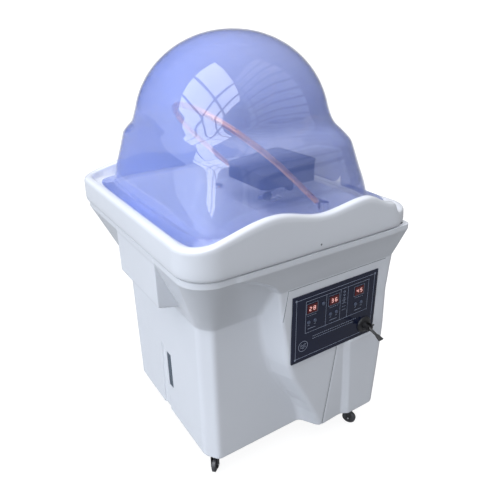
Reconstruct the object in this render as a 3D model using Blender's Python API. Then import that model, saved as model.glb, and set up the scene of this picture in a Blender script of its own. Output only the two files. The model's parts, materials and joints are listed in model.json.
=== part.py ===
"""Portable head spa basin: a shampoo basin on a wheeled cabinet, with a lift-off steam hood.

Every piece is modelled around the datum, the centre of the basin's footprint on the floor.
The datum sits a little behind the origin, because the mixer lever reaches past the front.
"""
import math

import bmesh
import bpy
from mathutils import Matrix, Vector

# Driving dimensions, in metres.
GAP = 0.0003                     # running gap between pieces that touch
LEVER_REACH = 0.391              # lever tip, in front of the datum
BAND_FLARE = 0.006               # how far the basin band stands outside the seam
SEAM_X, SEAM_Y = 0.312, 0.356    # half sizes of the seam between basin and cabinet
SEAM_RADIUS = 0.071
SEAM_Z = 0.651
DATUM_Y = (LEVER_REACH - SEAM_Y - BAND_FLARE) / 2

CABINET_Z = 0.061                # cabinet's lower edge
WAIST_Z = 0.465                  # where the cabinet starts to flare out
FLARE_TOP_Z = 0.637
FLARE_POWER = 1.05               # 1 is a straight slope
CABINET_LEFT = -0.241
CABINET_RIGHT = 0.290
CABINET_HALF_Y = 0.2525
CABINET_RADIUS = 0.042
WALL = 0.005
BLOCK_Y = (-0.172, 0.070)        # equipment block on the left face
BLOCK_UNDER_Z = (0.520, 0.5005)  # its underside, at its outer and inner edges
LEVEL_WINDOW_Y, LEVEL_WINDOW_Z = (-0.041, -0.015), (0.163, 0.280)

RIM_LOW = 0.694                  # rim at the client's end
RIM_WAVE = ((-0.312, 0.722), (-0.110, 0.759), (0.020, 0.737), (0.145, 0.752), (0.235, 0.722),
            (0.256, RIM_LOW), (0.320, RIM_LOW))
LEDGE_Z = 0.704                  # ledge that carries the hood
SHELF_Z, BOWL_Z = 0.656, 0.575   # raised neck shelf and bottom of the bowl
SHELF_START, SHELF_END = -0.010, 0.050
DRAIN = Vector((-0.090, 0.0))
DRAIN_RADIUS = 0.022
BASIN_WALL = 0.004
NOZZLE = (0.060, 0.190)          # mist nozzle in the neck shelf
NOZZLE_RADIUS = 0.013
DRAIN_OUTLET = (-0.218, 0.022)   # hose tail under the cabinet

HOOD_WALL = 0.003
HOOD_TOP_Z = 1.105
HOOD_SHOULDER_Z, DOME_Z = 0.838, 0.907
HOOD_LIP = (0.281, 0.325)
HOOD_FOOT = (0.258, 0.303)
HOOD_CREASE = (0.253, 0.300)
HOOD_SHOULDER = (0.233, 0.277)
DOME_BASE = (0.226, 0.226)
DOME_SHIFT = (0.017, 0.014)       # how far the dome leans at its top
DOME_POWER = 2.07
DOME_SQUARE = (3.0, 2.02)         # superellipse powers of its plan, at its base and top
NECK_HALF, NECK_TOP_Z = 0.150, 0.838

ARCH_X, ARCH_Z = 0.132, 0.695    # hinge line of the spray arch, along Y
ARCH_HALF, ARCH_LEG = 0.205, 0.150
ARCH_TILT = math.radians(46.8)
ARCH_TUBE = 0.0072

PANEL_X, PANEL_Z = (-0.040, 0.240), (0.340, 0.530)
PANEL_Y = -0.326                 # front face of the control panel
PANEL_THICK = 0.004
FACE_Y = PANEL_Y + PANEL_THICK + GAP
VALVE_X, VALVE_Z = 0.204, 0.373
DISPLAYS = {"left": 0.020, "middle": 0.090, "right": 0.176}
DISPLAY_Z = 0.486
DISPLAY_SIZE = (0.030, 0.023)
BUTTON_Z = 0.448
BUTTON_PITCH = 0.010             # half distance between a display's two buttons
POWER_BUTTON = (0.055, 0.487)
BUTTON_RADIUS = 0.0050

HEADREST_X, TILT_X, TILT_Z = 0.125, 0.165, 0.695
CUSHION_X, CUSHION_Y, CUSHION_Z = (0.036, 0.218), 0.095, 0.7155
CUSHION_TOP_Z = (0.757, 0.777)    # the pad rises towards the client
CUSHION_RADIUS = 0.018

KNOB_DIRECTION = Vector((-0.75, -0.66, 0.0)).normalized()
KNOB_Z = SHELF_Z + 0.0180

CHASSIS_Z = (0.066, 0.074)
CASTERS = {"front_left": (-0.205, -0.214, 225.0), "rear_left": (-0.205, 0.214, 35.0),
           "front_right": (0.207, -0.282, 300.0), "rear_right": (0.215, 0.214, 20.0)}
WHEEL_RADIUS, WHEEL_WIDTH, TRAIL = 0.020, 0.013, 0.014
STEM_RADIUS = 0.0060
FORK_TOP, FORK_CHEEK = 0.0500, 0.0100

DOOR_X, DOOR_Z = (-0.120, 0.140), (0.120, 0.420)
DOOR_THICK = 0.004
INLET_X, INLET_Z = (0.190, 0.240), (0.100, 0.160)
SWITCH_X, SWITCH_Z = (0.2050, 0.2250), (0.1340, 0.1520)


# Materials: colour, roughness, metallic, alpha.
FINISHES = {
    "shell_white": ((0.82, 0.84, 0.88), 0.25, 0.0, 1.0),
    "hood_blue": ((0.42, 0.48, 0.95), 0.05, 0.0, 0.35),
    "copper": ((0.80, 0.42, 0.26), 0.25, 1.0, 1.0),
    "chrome": ((0.80, 0.80, 0.82), 0.10, 1.0, 1.0),
    "vinyl_navy": ((0.02, 0.03, 0.09), 0.45, 0.0, 1.0),
    "black_plastic": ((0.02, 0.02, 0.02), 0.40, 0.0, 1.0),
    "panel_navy": ((0.01, 0.015, 0.05), 0.15, 0.0, 1.0),
    "display_red": ((0.35, 0.02, 0.02), 0.20, 0.0, 1.0),
    "button_silver": ((0.55, 0.56, 0.60), 0.30, 0.6, 1.0),
    "window_smoke": ((0.10, 0.14, 0.20), 0.08, 0.0, 0.6),
    "galvanised": ((0.60, 0.61, 0.63), 0.45, 0.9, 1.0),
    "wheel_grey": ((0.60, 0.60, 0.62), 0.50, 0.0, 1.0),
    "hose_grey": ((0.35, 0.36, 0.38), 0.50, 0.0, 1.0),
    "tank_natural": ((0.75, 0.76, 0.74), 0.45, 0.0, 1.0),
    "board_green": ((0.03, 0.20, 0.08), 0.50, 0.0, 1.0),
}


def clear_scene():
    for thing in list(bpy.data.objects):
        bpy.data.objects.remove(thing, do_unlink=True)


def make_materials():
    made = {}
    for name, (colour, roughness, metallic, alpha) in FINISHES.items():
        material = bpy.data.materials.new(name)
        material.use_nodes = True
        shader = material.node_tree.nodes["Principled BSDF"]
        shader.inputs["Base Color"].default_value = (*colour, 1.0)
        shader.inputs["Roughness"].default_value = roughness
        shader.inputs["Metallic"].default_value = metallic
        shader.inputs["Alpha"].default_value = alpha
        made[name] = material
    return made


# Outlines and interpolation.

def smooth_step(t):
    t = min(max(t, 0.0), 1.0)
    return t * t * (3 - 2 * t)


def mix(a, b, t):
    return a + (b - a) * t


def wave_height(x):
    """Height of the rim's crest above a place along X."""
    for (x0, z0), (x1, z1) in zip(RIM_WAVE, RIM_WAVE[1:]):
        if x <= x1:
            return mix(z0, z1, smooth_step((x - x0) / (x1 - x0)))
    return RIM_WAVE[-1][1]


def rounded_rectangle(half_x, half_y, radius, side_steps=1, arc_steps=6, centre=(0.0, 0.0)):
    """Counter-clockwise outline, with the same number of points for any size."""
    corners = ((1, -1, -90), (1, 1, 0), (-1, 1, 90), (-1, -1, 180))
    points = []
    for index, (sign_x, sign_y, start) in enumerate(corners):
        middle = Vector((sign_x * (half_x - radius), sign_y * (half_y - radius)))
        for step in range(arc_steps + 1):
            angle = math.radians(start + 90 * step / arc_steps)
            points.append(middle + radius * Vector((math.cos(angle), math.sin(angle))))
        next_x, next_y, next_start = corners[(index + 1) % 4]
        turn = math.radians(next_start)
        target = Vector((next_x * (half_x - radius), next_y * (half_y - radius)))
        target += radius * Vector((math.cos(turn), math.sin(turn)))
        last = points[-1]
        shares = [(1 - math.cos(math.pi * step / side_steps)) / 2 for step in range(1, side_steps)]
        points += [last.lerp(target, share) for share in shares]
    return [Vector((p.x + centre[0], p.y + centre[1])) for p in points]


def superellipse(half_x, half_y, power, count=44):
    points = []
    for index in range(count):
        angle = 2 * math.pi * (index + 0.5) / count
        c, s = math.cos(angle), math.sin(angle)
        points.append(Vector((half_x * math.copysign(abs(c) ** (2 / power), c),
                              half_y * math.copysign(abs(s) ** (2 / power), s))))
    return points


def at_height(outline, z):
    return [Vector((p.x, p.y, z)) for p in outline]


# Mesh builders. Each returns a bmesh.

def skin(rings, cap_first=False, cap_last=False):
    """Quads between closed rings of equal length."""
    bm = bmesh.new()
    rows = [[bm.verts.new(point) for point in ring] for ring in rings]
    count = len(rows[0])
    for low, high in zip(rows, rows[1:]):
        for index in range(count):
            after = (index + 1) % count
            bm.faces.new((low[index], low[after], high[after], high[index]))
    if cap_first:
        bm.faces.new(list(reversed(rows[0])))
    if cap_last:
        bm.faces.new(rows[-1])
    return bm


def solid_loft(rings):
    bm = skin(rings, True, True)
    bmesh.ops.recalc_face_normals(bm, faces=bm.faces)
    return bm


def box(size, centre=(0.0, 0.0, 0.0)):
    bm = bmesh.new()
    bmesh.ops.create_cube(bm, size=1.0, matrix=Matrix.Translation(centre) @ Matrix.Diagonal((*size, 1.0)))
    return bm


def span_box(x, y, z):
    size = (x[1] - x[0], y[1] - y[0], z[1] - z[0])
    return box(size, ((x[0] + x[1]) / 2, (y[0] + y[1]) / 2, (z[0] + z[1]) / 2))


def turned(profile, axis="Z", centre=(0.0, 0.0, 0.0), steps=18):
    """A closed profile of (radius, height) points turned about an axis.

    A profile that starts and ends on the axis makes a solid, any other makes a ring.
    """
    bm = bmesh.new()
    on_axis = profile[0][0] == 0 and profile[-1][0] == 0
    inner = profile[1:-1] if on_axis else profile
    rows = []
    for radius, height in inner:
        row = []
        for step in range(steps):
            angle = 2 * math.pi * step / steps
            row.append(bm.verts.new((radius * math.cos(angle), radius * math.sin(angle), height)))
        rows.append(row)
    pairs = list(zip(rows, rows[1:])) if on_axis else list(zip(rows, rows[1:] + rows[:1]))
    for low, high in pairs:
        for step in range(steps):
            after = (step + 1) % steps
            bm.faces.new((low[step], low[after], high[after], high[step]))
    if on_axis:
        bm.faces.new(rows[0])
        bm.faces.new(rows[-1])
    bmesh.ops.recalc_face_normals(bm, faces=bm.faces)
    turn = {"Z": Matrix.Identity(4), "X": Matrix.Rotation(math.pi / 2, 4, "Y"),
            "Y": Matrix.Rotation(-math.pi / 2, 4, "X")}[axis]
    bmesh.ops.transform(bm, matrix=Matrix.Translation(centre) @ turn, verts=bm.verts)
    return bm


def rod(radius, start, end, axis="Z", centre=(0.0, 0.0), steps=18, hole=0.0):
    """A round bar, or a tube when it has a hole, between two places along an axis."""
    low, high = min(start, end), max(start, end)
    profile = [(hole, low), (radius, low), (radius, high), (hole, high)]
    places = {"Z": (centre[0], centre[1], 0.0), "X": (0.0, centre[0], centre[1]),
              "Y": (centre[0], 0.0, centre[1])}
    return turned(profile, axis, places[axis], steps)


# Objects.

def new_object(name, bm, material, pivot=(0.0, 0.0, 0.0), smooth=False):
    """Make an object from points in datum coordinates, with its origin on the pivot."""
    bmesh.ops.translate(bm, vec=-Vector(pivot), verts=bm.verts)
    mesh = bpy.data.meshes.new(name)
    bm.to_mesh(mesh)
    bm.free()
    if smooth:
        mesh.shade_smooth()
        mesh.set_sharp_from_angle(angle=math.radians(35))
    thing = bpy.data.objects.new(name, mesh)
    thing.location = pivot
    thing.parent = DATUM
    thing.data.materials.append(MATERIALS[material])
    bpy.context.scene.collection.objects.link(thing)
    return thing


def boolean(thing, bm, operation="DIFFERENCE"):
    """Join or cut a piece with a hidden helper."""
    helper = new_object(f"helper_{len(bpy.data.objects)}", bm, "galvanised")
    helper.hide_render = True
    helper.display_type = "WIRE"
    step = thing.modifiers.new(operation.lower(), "BOOLEAN")
    step.operation = operation
    step.solver = "EXACT"
    step.object = helper


def bevel(thing, width, segments=2, angle=30):
    step = thing.modifiers.new("bevel", "BEVEL")
    step.width = width
    step.segments = segments
    step.limit_method = "ANGLE"
    step.angle_limit = math.radians(angle)


def solidify(thing, thickness):
    step = thing.modifiers.new("wall", "SOLIDIFY")
    step.thickness = thickness
    step.offset = -1.0
    step.use_even_offset = True
    step.use_rim = True


def hose(name, points, radius, material):
    """A bent tube through a few places, on a smooth curve."""
    curve = bpy.data.curves.new(name, "CURVE")
    curve.dimensions = "3D"
    curve.bevel_depth = radius
    curve.bevel_resolution = 2
    curve.use_fill_caps = True
    route = smooth_route([Vector(p) for p in points], 3.0 * radius)
    spline = curve.splines.new("POLY")
    spline.points.add(len(route) - 1)
    for place, point in zip(spline.points, route):
        place.co = (*point, 1.0)
    thing = bpy.data.objects.new(name, curve)
    thing.parent = DATUM
    curve.materials.append(MATERIALS[material])
    bpy.context.scene.collection.objects.link(thing)
    return thing


def smooth_route(points, spacing):
    """Points along a Catmull-Rom curve."""
    padded = [2 * points[0] - points[1]] + points + [2 * points[-1] - points[-2]]
    route = []
    for a, b, c, d in zip(padded, padded[1:], padded[2:], padded[3:]):
        steps = max(2, round((c - b).length / spacing))
        for step in range(steps):
            t = step / steps
            route.append(0.5 * (2 * b + (c - a) * t + (2 * a - 5 * b + 4 * c - d) * t * t
                                + (3 * b - a - 3 * c + d) * t ** 3))
    return route + [points[-1]]


# Cabinet.

def cabinet_sides(z):
    """Left, right and half depth of the cabinet, and its corner radius, at a height."""
    flare = min(max((z - WAIST_Z) / (FLARE_TOP_Z - WAIST_Z), 0.0), 1.0) ** FLARE_POWER
    edge = SEAM_X - 0.0005
    return (mix(CABINET_LEFT, -edge, flare), mix(CABINET_RIGHT, edge, flare),
            mix(CABINET_HALF_Y, SEAM_Y - 0.0005, flare), mix(CABINET_RADIUS, SEAM_RADIUS, flare))


def cabinet_rings(heights, inset=0.0):
    rings = []
    for z in heights:
        left, right, half_y, radius = cabinet_sides(z)
        outline = rounded_rectangle((right - left) / 2 - inset, half_y - inset, radius - inset,
                                    centre=((left + right) / 2, 0.0))
        rings.append(at_height(outline, z))
    return rings


# Control housing on the front: height, ridge, foot and front face at each level.
HOUSING_LEVELS = (
    (0.061, 0.083, 0.050, -0.3080), (0.120, 0.060, 0.040, -0.3110), (0.190, 0.026, 0.000, -0.3145),
    (0.260, -0.013, -0.040, -0.3180), (0.330, -0.041, -0.067, FACE_Y), (0.420, -0.055, -0.083, FACE_Y),
    (0.480, -0.067, -0.086, FACE_Y), (0.552, -0.076, -0.086, FACE_Y), (0.580, -0.100, -0.108, -0.3335),
    (0.610, -0.145, -0.150, -0.3450), (0.636, -0.200, -0.205, -0.3550), (0.6495, -0.200, -0.205, -0.3550))
HOUSING_CORNER = 0.020


def housing_rings(inset=0.0):
    rings = []
    for z, ridge, foot, face in HOUSING_LEVELS:
        right = cabinet_sides(z)[1] - inset - 0.0004
        front = face + inset
        back = -0.215 + inset
        corner = HOUSING_CORNER
        outline = ((foot + inset, back), (foot + inset, -CABINET_HALF_Y + inset), (ridge + inset, front),
                   (right - corner, front), (right - 0.3 * corner, front + 0.3 * corner),
                   (right, front + corner), (right, back))
        if inset:
            z = z - 0.006 if z < 0.1 else z + inset * (z > 0.64)
        rings.append([Vector((x, y, z)) for x, y in outline])
    return rings


def block_prism(inset=0.0):
    left = -SEAM_X + 0.0008 + inset
    top = SEAM_Z - 0.0015 + 2 * inset
    lift = 1.04 * inset
    profile = ((left, top), (left, BLOCK_UNDER_Z[0] + lift), (-0.2405, BLOCK_UNDER_Z[1] + lift),
               (-0.215, BLOCK_UNDER_Z[1] + lift), (-0.215, top))
    rings = [[Vector((x, y, z)) for x, z in profile]
             for y in (BLOCK_Y[0] + inset, BLOCK_Y[1] - inset)]
    return solid_loft(rings)


def make_cabinet():
    heights = (CABINET_Z, 0.190, 0.310, WAIST_Z, 0.495, 0.530, 0.570, 0.610, FLARE_TOP_Z, SEAM_Z - GAP)
    shell = new_object("cabinet_shell", solid_loft(cabinet_rings(heights)), "shell_white")
    boolean(shell, solid_loft(housing_rings()), "UNION")
    boolean(shell, block_prism(), "UNION")
    inner = (CABINET_Z - 0.006,) + heights[1:-1] + (SEAM_Z + 0.006,)
    boolean(shell, solid_loft(cabinet_rings(inner, WALL)))
    boolean(shell, solid_loft(housing_rings(WALL)))
    boolean(shell, block_prism(WALL))
    boolean(shell, span_box((PANEL_X[0] + 0.018, PANEL_X[1] - 0.018), (-0.360, -0.300),
                            (PANEL_Z[0] + 0.017, PANEL_Z[1] - 0.017)))
    boolean(shell, span_box((CABINET_LEFT - 0.02, CABINET_LEFT + 0.02), LEVEL_WINDOW_Y, LEVEL_WINDOW_Z))
    boolean(shell, span_box((DOOR_X[0] + 0.010, DOOR_X[1] - 0.010), (0.230, 0.270),
                            (DOOR_Z[0] + 0.010, DOOR_Z[1] - 0.010)))
    boolean(shell, span_box(INLET_X, (0.230, 0.270), INLET_Z))
    recess = [(0.020, 0.294), (0.035, 0.067), (-0.006, 0.067), (-0.010, 0.270)]
    rings = [[Vector((x, y, z)) for y, z in recess] for x in (CABINET_LEFT - 0.010, CABINET_LEFT + 0.0025)]
    boolean(shell, solid_loft(rings))


def make_chassis():
    low, high = CHASSIS_Z
    margin = WALL + GAP
    left, right, half_y, radius = cabinet_sides(low)
    outline = rounded_rectangle((right - left) / 2 - margin, half_y - margin, radius - margin,
                                centre=((left + right) / 2, 0.0))
    plate = new_object("chassis_plate", solid_loft([at_height(outline, low), at_height(outline, high)]),
                       "galvanised")
    boolean(plate, span_box((0.112, 0.250), (-0.2980, -0.200), (low, high)), "UNION")
    for x, y, _ in CASTERS.values():
        boolean(plate, rod(STEM_RADIUS + GAP, low - 0.01, high + 0.01, centre=(x, y)))
    hole_x, hole_y = DRAIN_OUTLET
    boolean(plate, rod(0.0113, low - 0.01, high + 0.01, centre=(hole_x, hole_y)))


# Basin.

def floor_height(x):
    """Bottom of the bowl, which rises to a shelf at the client's end."""
    rise = smooth_step((x - SHELF_START) / (SHELF_END - SHELF_START))
    return mix(BOWL_Z, SHELF_Z, rise)


def roll_size(x):
    """The rolled rim is tighter where the rim is low, at the client's end."""
    return mix(0.45, 1.0, (wave_height(x) - RIM_LOW) / (max(z for _, z in RIM_WAVE) - RIM_LOW))


def ledge_height(x):
    return min(LEDGE_Z, wave_height(x) - 0.006)


def basin_rings():
    """Rings from the seam, up over the rim, and down the bowl to the drain."""
    def outline(inset, radius=None):
        corner = SEAM_RADIUS - inset if radius is None else radius
        return rounded_rectangle(SEAM_X - inset, SEAM_Y - inset, corner, side_steps=8, arc_steps=5)

    rings = [at_height(outline(0.0), SEAM_Z), at_height(outline(-BAND_FLARE), SEAM_Z + 0.010)]
    for inset, drop in ((-0.001, 0.018), (0.004, 0.006), (0.011, 0.0), (0.018, 0.005)):
        rings.append([Vector((p.x, p.y, wave_height(p.x) - drop * roll_size(p.x)))
                      for p in outline(inset)])
    for inset, drop in ((0.026, 0.0), (0.072, 0.001)):
        rings.append([Vector((p.x, p.y, ledge_height(p.x) - drop)) for p in outline(inset, 0.045)])
    for inset, share in ((0.084, 0.25), (0.096, 0.75), (0.110, 1.0)):
        rings.append([Vector((p.x, p.y, mix(ledge_height(p.x), floor_height(p.x), share)))
                      for p in outline(inset, 0.060)])
    rim = outline(0.110, 0.060)
    for share in (0.22, 0.42, 0.62, 0.82, 1.0):
        ring = []
        for p in rim:
            spoke = p - DRAIN
            place = DRAIN + spoke * mix(1.0, DRAIN_RADIUS / spoke.length, share)
            ring.append(Vector((place.x, place.y, floor_height(place.x) - 0.006 * share)))
        rings.append(ring)
    return rings


def make_basin():
    basin = new_object("basin", skin(basin_rings()), "shell_white", smooth=True)
    solidify(basin, BASIN_WALL)
    boolean(basin, rod(NOZZLE_RADIUS + 0.001, SHELF_Z - 0.03, SHELF_Z + 0.03, centre=NOZZLE))


def make_drain():
    top = BOWL_Z - 0.006
    fitting = turned([(0.0150, top - 0.0620), (0.0185, top - 0.0620), (0.0185, top - 0.0080),
                      (0.0300, top - 0.0080), (0.0300, top - BASIN_WALL - 0.0022), (0.0150, top - 0.0062)],
                     centre=(DRAIN.x, DRAIN.y, 0.0))
    new_object("drain_fitting", fitting, "chrome", smooth=True)
    strainer = new_object("drain_strainer", turned(
        [(0.0, top - 0.0180), (0.0110, top - 0.0180), (0.0125, top + 0.0010), (0.0200, top + 0.0025),
         (0.0200, top + 0.0040), (0.0, top + 0.0050)], centre=(DRAIN.x, DRAIN.y, 0.0)), "chrome",
        (DRAIN.x, DRAIN.y, top), smooth=True)
    for index in range(6):
        angle = math.tau * index / 6
        place = (DRAIN.x + 0.007 * math.cos(angle), DRAIN.y + 0.007 * math.sin(angle))
        boolean(strainer, rod(0.0018, top - 0.03, top + 0.02, centre=place, steps=8))
    x, y = DRAIN_OUTLET
    hose("drain_hose", [(DRAIN.x, DRAIN.y, top - 0.0640), (DRAIN.x, DRAIN.y, top - 0.110),
                        (DRAIN.x - 0.015, DRAIN.y + 0.010, top - 0.150), (-0.195, 0.016, 0.375),
                        (x, y, 0.350), (x, y, 0.300), (x, y, 0.100)], 0.0095, "hose_grey")
    outlet = turned([(0.0, 0.0400), (0.0080, 0.0400), (0.0095, 0.0460), (0.0080, 0.0500), (0.0080, 0.0570),
                     (0.0150, 0.0570), (0.0150, 0.0650), (0.0110, 0.0655), (0.0110, 0.0860), (0.0, 0.0860)],
                    centre=(x, y, 0.0))
    new_object("drain_outlet", outlet, "black_plastic", smooth=True)


# Hood.

def hood_rings():
    lip_top = LEDGE_Z + 0.0005 + HOOD_WALL
    crease_z = 0.755
    rings = [at_height(superellipse(*HOOD_LIP, 9.0), lip_top),
             at_height(superellipse(*HOOD_FOOT, 6.5), lip_top + 0.003),
             at_height(superellipse(*HOOD_CREASE, 5.5), crease_z),
             at_height(superellipse(*HOOD_SHOULDER, 5.0), HOOD_SHOULDER_Z)]
    for share in (0.25, 0.5, 0.75, 1.0):
        out = 1 - smooth_step(share)
        outline = superellipse(mix(DOME_BASE[0], HOOD_SHOULDER[0], out),
                               mix(DOME_BASE[1], HOOD_SHOULDER[1], out), mix(DOME_SQUARE[0], 5.0, out))
        rings.append(at_height(outline, mix(HOOD_SHOULDER_Z, DOME_Z, share)))
    for step in range(1, 9):
        rise = math.sin(math.pi / 2 * step / 8.4)
        size = (1 - rise ** DOME_POWER) ** (1 / DOME_POWER)
        outline = superellipse(DOME_BASE[0] * size, DOME_BASE[1] * size, mix(*DOME_SQUARE, math.sqrt(rise)))
        lean = Vector(DOME_SHIFT) * rise
        rings.append([Vector((p.x + lean.x, p.y + lean.y, mix(DOME_Z, HOOD_TOP_Z, rise))) for p in outline])
    return rings


def make_hood():
    hood = new_object("hood", skin(hood_rings(), cap_last=True), "hood_blue",
                      (0.0, 0.0, LEDGE_Z), smooth=True)
    solidify(hood, HOOD_WALL)
    corner = 0.040
    height = NECK_TOP_Z - 0.600
    outline = rounded_rectangle(NECK_HALF, height / 2, corner, arc_steps=4)
    rings = [[Vector((x, p.x, p.y + NECK_TOP_Z - height / 2)) for p in outline] for x in (0.100, 0.360)]
    boolean(hood, solid_loft(rings))


# Spray arch.

def arch_point(y, along):
    return Vector((ARCH_X - along * math.sin(ARCH_TILT), y, ARCH_Z + along * math.cos(ARCH_TILT)))


def make_arch():
    steps = 16
    start = 0.0135
    route = [arch_point(-ARCH_HALF, start)]
    for step in range(steps + 1):
        angle = math.pi * step / steps
        route.append(arch_point(-ARCH_HALF * math.cos(angle), ARCH_LEG + ARCH_HALF * math.sin(angle)))
    route.append(arch_point(ARCH_HALF, start))
    curve = bpy.data.curves.new("spray_arch", "CURVE")
    curve.dimensions = "3D"
    curve.bevel_depth = ARCH_TUBE
    curve.bevel_resolution = 3
    curve.use_fill_caps = True
    spline = curve.splines.new("POLY")
    spline.points.add(len(route) - 1)
    pivot = Vector((ARCH_X, 0.0, ARCH_Z))
    for place, point in zip(spline.points, route):
        place.co = (*(point - pivot), 1.0)
    arch = bpy.data.objects.new("spray_arch", curve)
    arch.location = pivot
    arch.parent = DATUM
    curve.materials.append(MATERIALS["copper"])
    bpy.context.scene.collection.objects.link(arch)
    for side, name in ((-1, "front"), (1, "rear")):
        new_object(f"arch_swivel_{name}",
                   rod(0.0130, side * 0.1965, side * 0.2135, "Y", (ARCH_X, ARCH_Z), hole=0.0043),
                   "chrome", (ARCH_X, 0.0, ARCH_Z), smooth=True)
        post = new_object(f"arch_bracket_{name}",
                          rod(0.0110, SHELF_Z + 0.0010, ARCH_Z + 0.0110, centre=(ARCH_X, side * 0.2260)),
                          "chrome", smooth=True)
        boolean(post, rod(0.0040, side * 0.1980, side * 0.2260, "Y", (ARCH_X, ARCH_Z), steps=16), "UNION")


# Headrest.

def make_headrest():
    centre = (HEADREST_X, 0.0)
    socket = turned([(0.0093, SHELF_Z + 0.0008), (0.0360, SHELF_Z + 0.0008), (0.0360, SHELF_Z + 0.0030),
                     (0.0180, SHELF_Z + 0.0050), (0.0180, SHELF_Z + 0.0260), (0.0093, SHELF_Z + 0.0260)],
                    centre=(*centre, 0.0))
    new_object("headrest_socket", socket, "chrome", smooth=True)
    post = new_object("headrest_post", rod(0.0090, SHELF_Z + 0.0012, TILT_Z + 0.0040, centre=centre),
                      "chrome", (*centre, SHELF_Z), smooth=True)
    boolean(post, span_box((HEADREST_X, TILT_X), (-0.006, 0.006), (TILT_Z - 0.0060, TILT_Z + 0.0030)),
            "UNION")
    boolean(post, rod(0.0075, -0.012, 0.012, "Y", (TILT_X, TILT_Z)), "UNION")
    boolean(post, rod(0.0033, -0.05, 0.05, "Y", (TILT_X, TILT_Z), steps=16))
    plate_top = CUSHION_Z - GAP
    plate = new_object("headrest_plate", span_box((CUSHION_X[0] + 0.012, CUSHION_X[1] + 0.002),
                                                  (-0.070, 0.070), (plate_top - 0.004, plate_top)),
                       "chrome", (TILT_X, 0.0, TILT_Z))
    for side in (-1, 1):
        low, high = sorted((side * 0.0123, side * 0.0160))
        boolean(plate, span_box((TILT_X - 0.008, TILT_X + 0.008), (low, high),
                                (TILT_Z - 0.008, plate_top - 0.002)), "UNION")
    boolean(plate, rod(0.0033, -0.05, 0.05, "Y", (TILT_X, TILT_Z), steps=16))
    make_cushion()
    knob_face = -0.0163
    new_object("tilt_knob", turned(
        [(0.0, -0.0440), (0.0110, -0.0440), (0.0130, -0.0420), (0.0130, -0.0300),
         (0.0080, knob_face - 0.004), (0.0080, knob_face), (0.0030, knob_face), (0.0030, 0.0180),
         (0.0, 0.0180)],
        "Y", (TILT_X, 0.0, TILT_Z)), "black_plastic", (TILT_X, 0.0, TILT_Z), smooth=True)
    make_height_knob()


def make_height_knob():
    """Clamp knob whose screw bears on the collar, square to the post."""
    start = Vector((HEADREST_X, 0.0, KNOB_Z)) + KNOB_DIRECTION * 0.0186
    bm = turned([(0.0, 0.0), (0.0035, 0.0), (0.0035, 0.0060), (0.0090, 0.0070), (0.0120, 0.0120),
                 (0.0120, 0.0260), (0.0100, 0.0280), (0.0, 0.0280)])
    turn = KNOB_DIRECTION.to_track_quat("Z", "Y").to_matrix().to_4x4()
    bmesh.ops.transform(bm, matrix=Matrix.Translation(start) @ turn, verts=bm.verts)
    new_object("height_knob", bm, "black_plastic", start, smooth=True)


def make_cushion():
    """A block-shaped head pad whose top slopes up towards the client."""
    start, end = CUSHION_X
    half_x = (end - start) / 2
    rings = []
    for inset, rise, drop in ((0.004, 0.0, 0.0), (0.0, 0.0, -0.004), (0.0, 1.0, 0.006), (0.002, 1.0, 0.002),
                              (0.006, 1.0, 0.0)):
        outline = rounded_rectangle(half_x - inset, CUSHION_Y - inset, CUSHION_RADIUS, arc_steps=4,
                                    centre=(start + half_x, 0.0))
        ring = []
        for p in outline:
            top = mix(*CUSHION_TOP_Z, (p.x - start) / (end - start))
            ring.append(Vector((p.x, p.y, mix(CUSHION_Z, top, rise) - drop)))
        rings.append(ring)
    new_object("head_cushion", solid_loft(rings), "vinyl_navy", (TILT_X, 0.0, TILT_Z), smooth=True)


# Control panel.

def button_places():
    places = {"button_power": POWER_BUTTON}
    for name, x in DISPLAYS.items():
        places[f"button_{name}_down"] = (x - BUTTON_PITCH, BUTTON_Z)
        places[f"button_{name}_up"] = (x + BUTTON_PITCH, BUTTON_Z)
    return places


def make_panel():
    panel = new_object("control_panel", span_box(PANEL_X, (PANEL_Y, PANEL_Y + PANEL_THICK), PANEL_Z),
                       "panel_navy")
    front = PANEL_Y - GAP
    for name, x in DISPLAYS.items():
        half_x, half_z = DISPLAY_SIZE[0] / 2, DISPLAY_SIZE[1] / 2
        new_object(f"display_{name}", span_box((x - half_x, x + half_x), (front - 0.0012, front),
                                               (DISPLAY_Z - half_z, DISPLAY_Z + half_z)), "display_red")
    for name, (x, z) in button_places().items():
        boolean(panel, rod(BUTTON_RADIUS + GAP, PANEL_Y - 0.01, PANEL_Y + 0.01, "Y", (x, z), steps=12))
        button = turned([(0.0, front - 0.0020), (BUTTON_RADIUS - 0.0008, front - 0.0020),
                         (BUTTON_RADIUS, front - 0.0012), (BUTTON_RADIUS, PANEL_Y + 0.0060),
                         (0.0, PANEL_Y + 0.0060)],
                        "Y", (x, 0.0, z), steps=12)
        new_object(name, button, "button_silver", (x, front, z), smooth=True)
    boolean(panel, rod(0.0130, PANEL_Y - 0.01, PANEL_Y + 0.01, "Y", (VALVE_X, VALVE_Z)))


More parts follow.
